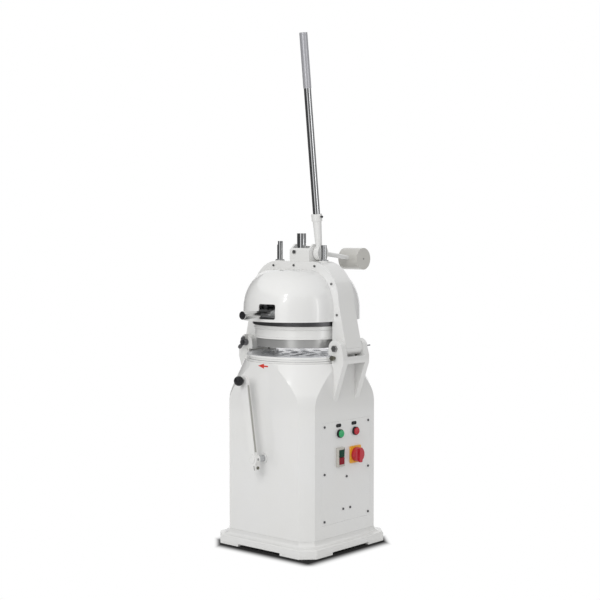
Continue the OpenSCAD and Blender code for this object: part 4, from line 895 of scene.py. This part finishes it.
@dataclass
class PressLever:
    """Long lever with its socket, grip, counterweight and pinion."""

    shop: Shop
    socket_edge: float = 0.003
    grip_edge: float = 0.0025
    rod_edge: float = 0.001
    weight_edge: float = 0.004
    plug_r: float = 0.004
    plug_sunk: float = 0.001

    def plug(self) -> None:
        """Turns the small screw plug in the middle of the weight's right end."""
        low, high = (Vector(corner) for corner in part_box("counterweight"))
        at = Vector((high.x - self.plug_sunk, (low.y + high.y) / 2, (low.z + high.z) / 2))
        r = self.plug_r
        rim = [(r, 0.0012), (0.8 * r, 0.0016), (0.6 * r, 0.0016), (0.55 * r, 0.0008)]
        profile = [(0.0, 0.0), (r, 0.0), *rim, (0.0, 0.0008)]
        turn = Matrix.Translation(at) @ Matrix.Rotation(math.pi / 2, 4, "Y")
        mesh = lathe("weight_plug_form", profile, turn, 32)
        self.shop.add("weight_plug", mesh, BLACK_STEEL, self.shop.bodies["counterweight"], "dark_steel")

    def build(self) -> None:
        """Dresses the lever."""
        self.shop.soften(CAST_WHITE, self.socket_edge, "lever_socket")
        self.shop.dress(CHROME, "lever_tube")
        self.shop.soften(GRIP_GREY, self.grip_edge, "lever_grip")
        self.shop.soften(BLACK_STEEL, self.rod_edge, "lever_set_bolt")
        self.shop.soften(GLOSS_WHITE, self.rod_edge, "counterweight_rod")
        self.shop.soften(WEIGHT_CREAM, self.weight_edge, "counterweight")
        self.plug()
        self.shop.dress(DRAWN_STEEL, "pinion_shaft")


@dataclass
class Press:
    """Spindle, guide rods, crosshead, ring, stamps, knives and cutter."""

    shop: Shop
    rod_edge: float = 0.0012
    sleeve_edge: float = 0.001
    ring_edge: float = 0.0016
    cutter_edge: float = 0.0015
    handle_angle: float = 1.5
    handle_end: float = 0.368
    end_r: float = 0.0155
    end_sunk: float = 0.0015

    def handle_plug(self) -> None:
        """Turns the dark plug in the end of the cutter's handle."""
        low, high = (Vector(corner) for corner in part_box("cutter_handle"))
        a = math.radians(self.handle_angle)
        out = Vector((math.sin(a), -math.cos(a), 0.0))
        at = out * (self.handle_end - self.end_sunk) + Vector((0.0, 0.0, (low.z + high.z) / 2))
        r = self.end_r
        profile = [(0.0, 0.0), (r, 0.0), (r, 0.0018), (0.93 * r, 0.0024), (0.5 * r, 0.0021), (0.0, 0.002)]
        turn = Matrix.Translation(at) @ out.to_track_quat("Z", "Y").to_matrix().to_4x4()
        mesh = lathe("handle_end_form", profile, turn)
        self.shop.add("handle_end_plug", mesh, BLACK, self.shop.bodies["cutter_handle"], "black_plastic")

    def build(self) -> None:
        """Dresses what the lever presses down."""
        self.shop.soften(CHROME, self.rod_edge, "press_spindle", "guide_rods")
        self.shop.soften(TURNED_ALUMINIUM, self.sleeve_edge, "press_crosshead")
        self.shop.soften(RING_WHITE, self.ring_edge, "press_ring")
        self.shop.soften(SLEEVE_ALUMINIUM, self.sleeve_edge, "press_sleeve")
        self.shop.dress(TURNED_ALUMINIUM, "press_stamps")
        self.shop.dress(DRAWN_STEEL, "knife_grid")
        self.shop.soften(DRAWN_STEEL, self.cutter_edge, "cutter_ring")
        self.shop.soften(HANDLE_ALUMINIUM, self.cutter_edge, "cutter_handle")
        self.handle_plug()


@dataclass
class RoundingLever:
    """Short lever at the front that starts the rounding."""

    shop: Shop
    hub_proud: float = 0.004
    arm_thick: float = 0.016
    lip: float = 0.0027
    # Outline of the dark sheet that paints the shade in the arm's recess.
    web_line: tuple[tuple[float, float], ...] = (
        (0.0103, 0.0303),
        (0.0136, 0.0303),
        (0.0182, 0.3007),
        (0.0103, 0.3007),
    )
    cut_edge: float = 0.0002
    shaft_edge: float = 0.001
    hub_middle: float = 0.013
    shaft_r: float = 0.013
    cap_past: float = 0.001
    cap_sunk: float = 0.002
    hub_r: float = 0.022
    screw_r: float = 0.0042
    screw_sunk: float = 0.0018
    bolt_drop: float = 0.034
    bolt_r: float = 0.0065
    bolt_thick: float = 0.0075
    bolt_edge: float = 0.0007
    head_at: float = 0.01
    nut_at: float = -0.0175
    slit: float = 0.003
    slit_at: float = 0.006
    slit_foot: float = -0.0418
    slit_top: float = -0.024
    slit_back: float = 0.001
    slit_deep: float = 0.0013

    def upright(self) -> Matrix:
        """Frame of the arm: its shaft at the origin, the ball knob on Z and the hub's front on Y = 0."""
        shaft = [(a + b) / 2 for a, b in zip(*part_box("rounding_bush"))]
        foot = Vector((shaft[0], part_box("rounding_arm")[0][1], shaft[2]))
        ball = [(a + b) / 2 for a, b in zip(*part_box("rounding_knob"))]
        lean = math.atan2(foot.x - ball[0], ball[2] - foot.z)
        return Matrix.Translation(foot) @ Matrix.Rotation(-lean, 4, "Y")

    def cut(self, name: str, outline: Line, back: float, depth: float) -> bpy.types.Mesh:
        """A plate in the arm's plane, from a distance in Y forwards, with its edges rounded."""
        turn = self.upright() @ Matrix.Translation((0.0, back, 0.0)) @ Matrix.Rotation(math.pi / 2, 4, "X")
        return rounded_edges(plate(f"{name}_blank", outline, depth, turn), f"{name}_form", self.cut_edge, 2)

    def web(self) -> None:
        """Lays a dark grey sheet in the recess of the arm's right side: painted shade of the recess."""
        back = self.hub_proud + self.arm_thick - self.lip
        mesh = self.cut("arm_web_painted_shade", self.web_line, back, self.arm_thick - 2 * self.lip)
        self.shop.add("arm_web_painted_shade", mesh, WEB_PAINTED_SHADE, self.shop.bodies["rounding_arm"], "cast_grey")

    def turned(self, name: str, profile: Line, turn: Matrix, finish: Finish, slot: str) -> None:
        """Puts a small turned piece on the arm."""
        mesh = lathe(f"{name}_form", profile, self.upright() @ turn, 40)
        self.shop.add(name, mesh, finish, self.shop.bodies["rounding_arm"], slot)

    def hub(self) -> None:
        """Covers the shaft's front end with a painted cap and sets the screw in the hub's right side."""
        r = self.shaft_r + self.cap_past
        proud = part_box("rounding_arm")[0][1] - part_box("rounding_shaft")[0][1]
        cap = [(0.0, 0.0), (r, 0.0), (r, 0.0022), (0.93 * r, 0.003), (0.6 * r, 0.0035), (0.0, 0.0037)]
        out = Matrix.Translation((0.0, self.cap_sunk - proud, 0.0)) @ Matrix.Rotation(math.pi / 2, 4, "X")
        self.turned("hub_cap", cap, out, GLOSS_WHITE, "white_enamel")
        r = self.screw_r
        rim = [(r, 0.0022), (0.7 * r, 0.0026), (0.5 * r, 0.0026), (0.45 * r, 0.0012)]
        screw = [(0.0, 0.0), (r, 0.0), *rim, (0.0, 0.0012)]
        seat = Matrix.Translation((self.hub_r - self.screw_sunk, self.hub_middle, 0.0))
        side = seat @ Matrix.Rotation(math.pi / 2, 4, "Y")
        self.turned("hub_screw", screw, side, BLACK_STEEL, "dark_steel")

    def clamp(self) -> None:
        """Draws the clamp's bolt across the hub's tail, and its slit as a black strip on the hub's front:
        painted shade of the gap.
        """
        body = self.shop.bodies["rounding_arm"]
        across = Matrix.Rotation(math.pi / 2, 4, "Y")
        corners = [math.tau * k / 6 for k in range(6)]
        hexagon = [(self.bolt_r * math.cos(a), self.bolt_r * math.sin(a)) for a in corners]
        for side, start in (("head", self.head_at), ("nut", self.nut_at)):
            seat = Matrix.Translation((start, self.hub_middle, -self.bolt_drop))
            blank = plate(f"clamp_{side}_blank", hexagon, self.bolt_thick, self.upright() @ seat @ across)
            mesh = rounded_edges(blank, f"clamp_{side}_form", self.bolt_edge, 2)
            self.shop.add(f"clamp_bolt_{side}", mesh, OLIVE_STEEL, body, "dark_steel")
        # The slit is a black strip on the hub's face: painted shade of the slit's gap, not a cut.
        left, right = self.slit_at - self.slit / 2, self.slit_at + self.slit / 2
        foot, top = self.slit_foot, self.slit_top
        line = [(left, foot), (right, foot), (right, top), (left, top)]
        mesh = self.cut("clamp_slit_painted_shade", line, self.slit_back, self.slit_deep)
        self.shop.add("clamp_slit_painted_shade", mesh, BLACK, body, "black_plastic")

    def build(self) -> None:
        """Dresses the lever, its shaft and bush."""
        self.web()
        self.hub()
        self.clamp()
        self.shop.dress(GLOSS_WHITE, "rounding_arm")
        self.shop.soften(CROSS_STEEL, self.shaft_edge, "rounding_shaft")
        self.shop.soften(GLOSS_WHITE, self.shaft_edge, "rounding_bush")
        self.shop.dress(BLACK, "rounding_knob")


@dataclass
class Table:
    """Orbiting table with its plate and drive."""

    shop: Shop
    table_edge: float = 0.0015
    plate_edge: float = 0.0012
    # The white band that paints the highlight along the moulding plate's edge.
    band: float = 0.0004
    band_foot: float = 0.0005
    band_drop: float = 0.0016
    band_slope: float = 0.0008

    def edge_band(self) -> None:
        """Wraps a thin white band round the plate's side: painted highlight along the plate's edge."""
        low, high = (Vector(corner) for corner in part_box("moulding_plate"))
        r = (high.x - low.x) / 2
        tall = high.z - low.z
        inner, outer = r - self.band, r + self.band
        foot, top = self.band_foot, tall - self.band_drop
        profile = [(inner, foot), (outer, foot), (outer, top), (inner, top + self.band_slope), (inner, foot)]
        turn = Matrix.Translation(((low.x + high.x) / 2, (low.y + high.y) / 2, low.z))
        mesh = lathe("plate_edge_highlight_form", profile, turn, 128)
        body = self.shop.bodies["moulding_plate"]
        self.shop.add("plate_edge_painted_highlight", mesh, RING_WHITE, body, "coated_aluminium")

    def build(self) -> None:
        """Dresses the table and what turns it."""
        self.shop.soften(RING_WHITE, self.table_edge, "rounding_table")
        self.shop.soften(PLATE_ALUMINIUM, self.plate_edge, "moulding_plate")
        self.edge_band()
        self.shop.dress(DRAWN_STEEL, "eccentric_shaft")
        self.shop.dress(CAST_GREY, "shaft_pulley", "motor_pulley")


@dataclass(frozen=True)
class Place:
    """Where a screw's head sits: the middle of its face, the way it faces, its radius and its height."""

    at: Vector
    facing: Vector
    radius: float
    height: float


@dataclass(frozen=True)
class SocketHeads:
    """Geometry Nodes tree that sets a socket screw's head at each point of a mesh."""

    name: str = "socket_heads"
    sides: int = 28
    seed: int = 7
    edge: float = 0.0004

    def tree(self) -> bpy.types.NodeTree:
        """The node tree, made once."""
        made = bpy.data.node_groups.get(self.name)
        if made is not None:
            return made
        made = bpy.data.node_groups.new(self.name, "GeometryNodeTree")
        for name, kind in (("Places", "Geometry"), ("Socket Share", "Float"), ("Finish", "Material")):
            made.interface.new_socket(name, in_out="INPUT", socket_type=f"NodeSocket{kind}")
        made.interface.new_socket("Heads", in_out="OUTPUT", socket_type="NodeSocketGeometry")
        graph = Graph(made)
        share = graph.node("NodeGroupInput", output="Socket Share")
        blank = self.drum(graph, self.sides, 1.0, 1.0, -0.5)
        hollow = self.drum(graph, 6, share, 1.0, 0.0)
        head = graph.node("GeometryNodeMeshBoolean", {"operation": "DIFFERENCE"}, {0: blank, 1: hollow})
        facing, size = (
            graph.node("GeometryNodeInputNamedAttribute", {"data_type": "FLOAT_VECTOR"}, {"Name": name})
            for name in ("facing", "size")
        )
        upright = graph.node("FunctionNodeAlignRotationToVector", {"axis": "Z"}, {"Vector": facing})
        limits = {2: 0.0, 3: math.tau, "Seed": self.seed}
        turn = graph.node("FunctionNodeRandomValue", {"data_type": "FLOAT"}, limits, 1)
        spin = graph.node("ShaderNodeCombineXYZ", inputs={"Z": turn})
        about = graph.node("FunctionNodeEulerToRotation", inputs={0: spin})
        rotation = graph.node(
            "FunctionNodeRotateRotation",
            {"rotation_space": "LOCAL"},
            {"Rotation": upright, "Rotate By": about},
        )
        heads = graph.node(
            "GeometryNodeInstanceOnPoints",
            inputs={
                "Points": graph.node("NodeGroupInput", output="Places"),
                "Instance": head,
                "Rotation": rotation,
                "Scale": size,
            },
        )
        real = graph.node("GeometryNodeRealizeInstances", inputs={0: heads})
        finish = graph.node("NodeGroupInput", output="Finish")
        dressed = graph.node("GeometryNodeSetMaterial", inputs={"Geometry": real, "Material": finish})
        graph.node("NodeGroupOutput", inputs={"Heads": dressed}, output=None)
        return made

    def drum(self, graph: Graph, sides: int, radius: Any, depth: float, middle: float) -> Wire:
        """A prism of that many sides about Z, its middle at that height."""
        prism = graph.node(
            "GeometryNodeMeshCylinder",
            {"fill_type": "NGON"},
            {"Vertices": sides, "Radius": radius, "Depth": depth},
        )
        lift = (0.0, 0.0, middle)
        return graph.node("GeometryNodeTransform", inputs={"Geometry": prism, "Translation": lift})

    def mesh(self, name: str, places: Sequence[Place], share: float, finish: Finish) -> bpy.types.Mesh:
        """Sets the heads and turns them into a plain mesh.

        Args:
            name: the mesh's name.
            places: where the heads go.
            share: the hexagon's radius over the head's.
            finish: the heads' finish.

        Returns:
            One mesh of all the heads, with their edges rounded.
        """
        points = bpy.data.meshes.new(f"{name}_places")
        points.from_pydata([place.at for place in places], [], [])
        rows = {
            "facing": [tuple(place.facing) for place in places],
            "size": [(place.radius, place.radius, place.height) for place in places],
        }
        for key, values in rows.items():
            held = points.attributes.new(key, "FLOAT_VECTOR", "POINT")
            held.data.foreach_set("vector", [c for value in values for c in value])
        carrier = linked(f"{name}_carrier", points)
        heads = carrier.modifiers.new("heads", "NODES")
        heads.node_group = self.tree()
        sockets = {row.name: row.identifier for row in heads.node_group.interface.items_tree}
        heads[sockets["Socket Share"]] = share
        heads[sockets["Finish"]] = finish.material()
        made = bpy.data.meshes.new_from_object(carrier.evaluated_get(bpy.context.evaluated_depsgraph_get()))
        carrier.modifiers.remove(heads)
        bpy.data.objects.remove(carrier)
        bpy.data.meshes.remove(points)
        return rounded_edges(made, name, self.edge, 2)


@dataclass
class Fasteners:
    """Socket screws of the panel, the half domes and the pinion housing."""

    shop: Shop
    heads: SocketHeads = SocketHeads()
    socket_share: float = 0.55
    rim_share: float = 0.96

    def places(self, node: str, along: int) -> list[Place]:
        """Reads the heads of a CAD node's screws.

        Args:
            node: the CAD node, of loose screws with a common direction.
            along: number of the axis that they lie along.

        Returns:
            A place for each head.
        """
        form = bmesh.new()
        form.from_mesh(self.shop.nodes[node].data)
        bmesh.ops.remove_doubles(form, verts=form.verts, dist=WELD)
        found = [self.head([v.co.copy() for v in island], along) for island in islands(form)]
        form.free()
        return found

    def head(self, points: Sequence[Vector], along: int) -> Place:
        """The head of one screw, whose points are those furthest from its axis."""
        low = Vector(min(p[k] for p in points) for k in range(3))
        high = Vector(max(p[k] for p in points) for k in range(3))
        middle = (low + high) / 2
        radius = (high - low)[(along + 1) % 3] / 2
        rim = [p[along] for p in points if self.off_axis(p - middle, along) > self.rim_share * radius]
        side = 1.0 if sum(rim) / len(rim) > middle[along] else -1.0
        at = middle.copy()
        at[along] = max(rim) if side > 0 else min(rim)
        facing = Vector((0.0, 0.0, 0.0))
        facing[along] = side
        return Place(at, facing, radius, max(rim) - min(rim))

    def off_axis(self, step: Vector, along: int) -> float:
        """Distance from the screw's axis."""
        return math.hypot(step[(along + 1) % 3], step[(along + 2) % 3])

    def build(self) -> None:
        """Sets the heads in place of the CAD screws."""
        for node, along, finish in (("panel_screws", 0, BLACK_STEEL), ("cover_screws", 1, SCREW_STEEL)):
            mesh = self.heads.mesh(f"{node}_heads", self.places(node, along), self.socket_share, finish)
            self.shop.stand_in(node, mesh, finish)


def main() -> None:
    logging.basicConfig(level=logging.INFO, format="%(name)s: %(message)s")
    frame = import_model()
    shop = Shop(frame)
    Studio().build()
    for part in (Cabinet, Hinges, Controls, Head, PressLever, Press, RoundingLever, Table, Fasteners):
        part(shop).build()


if __name__ == "__main__":
    main()
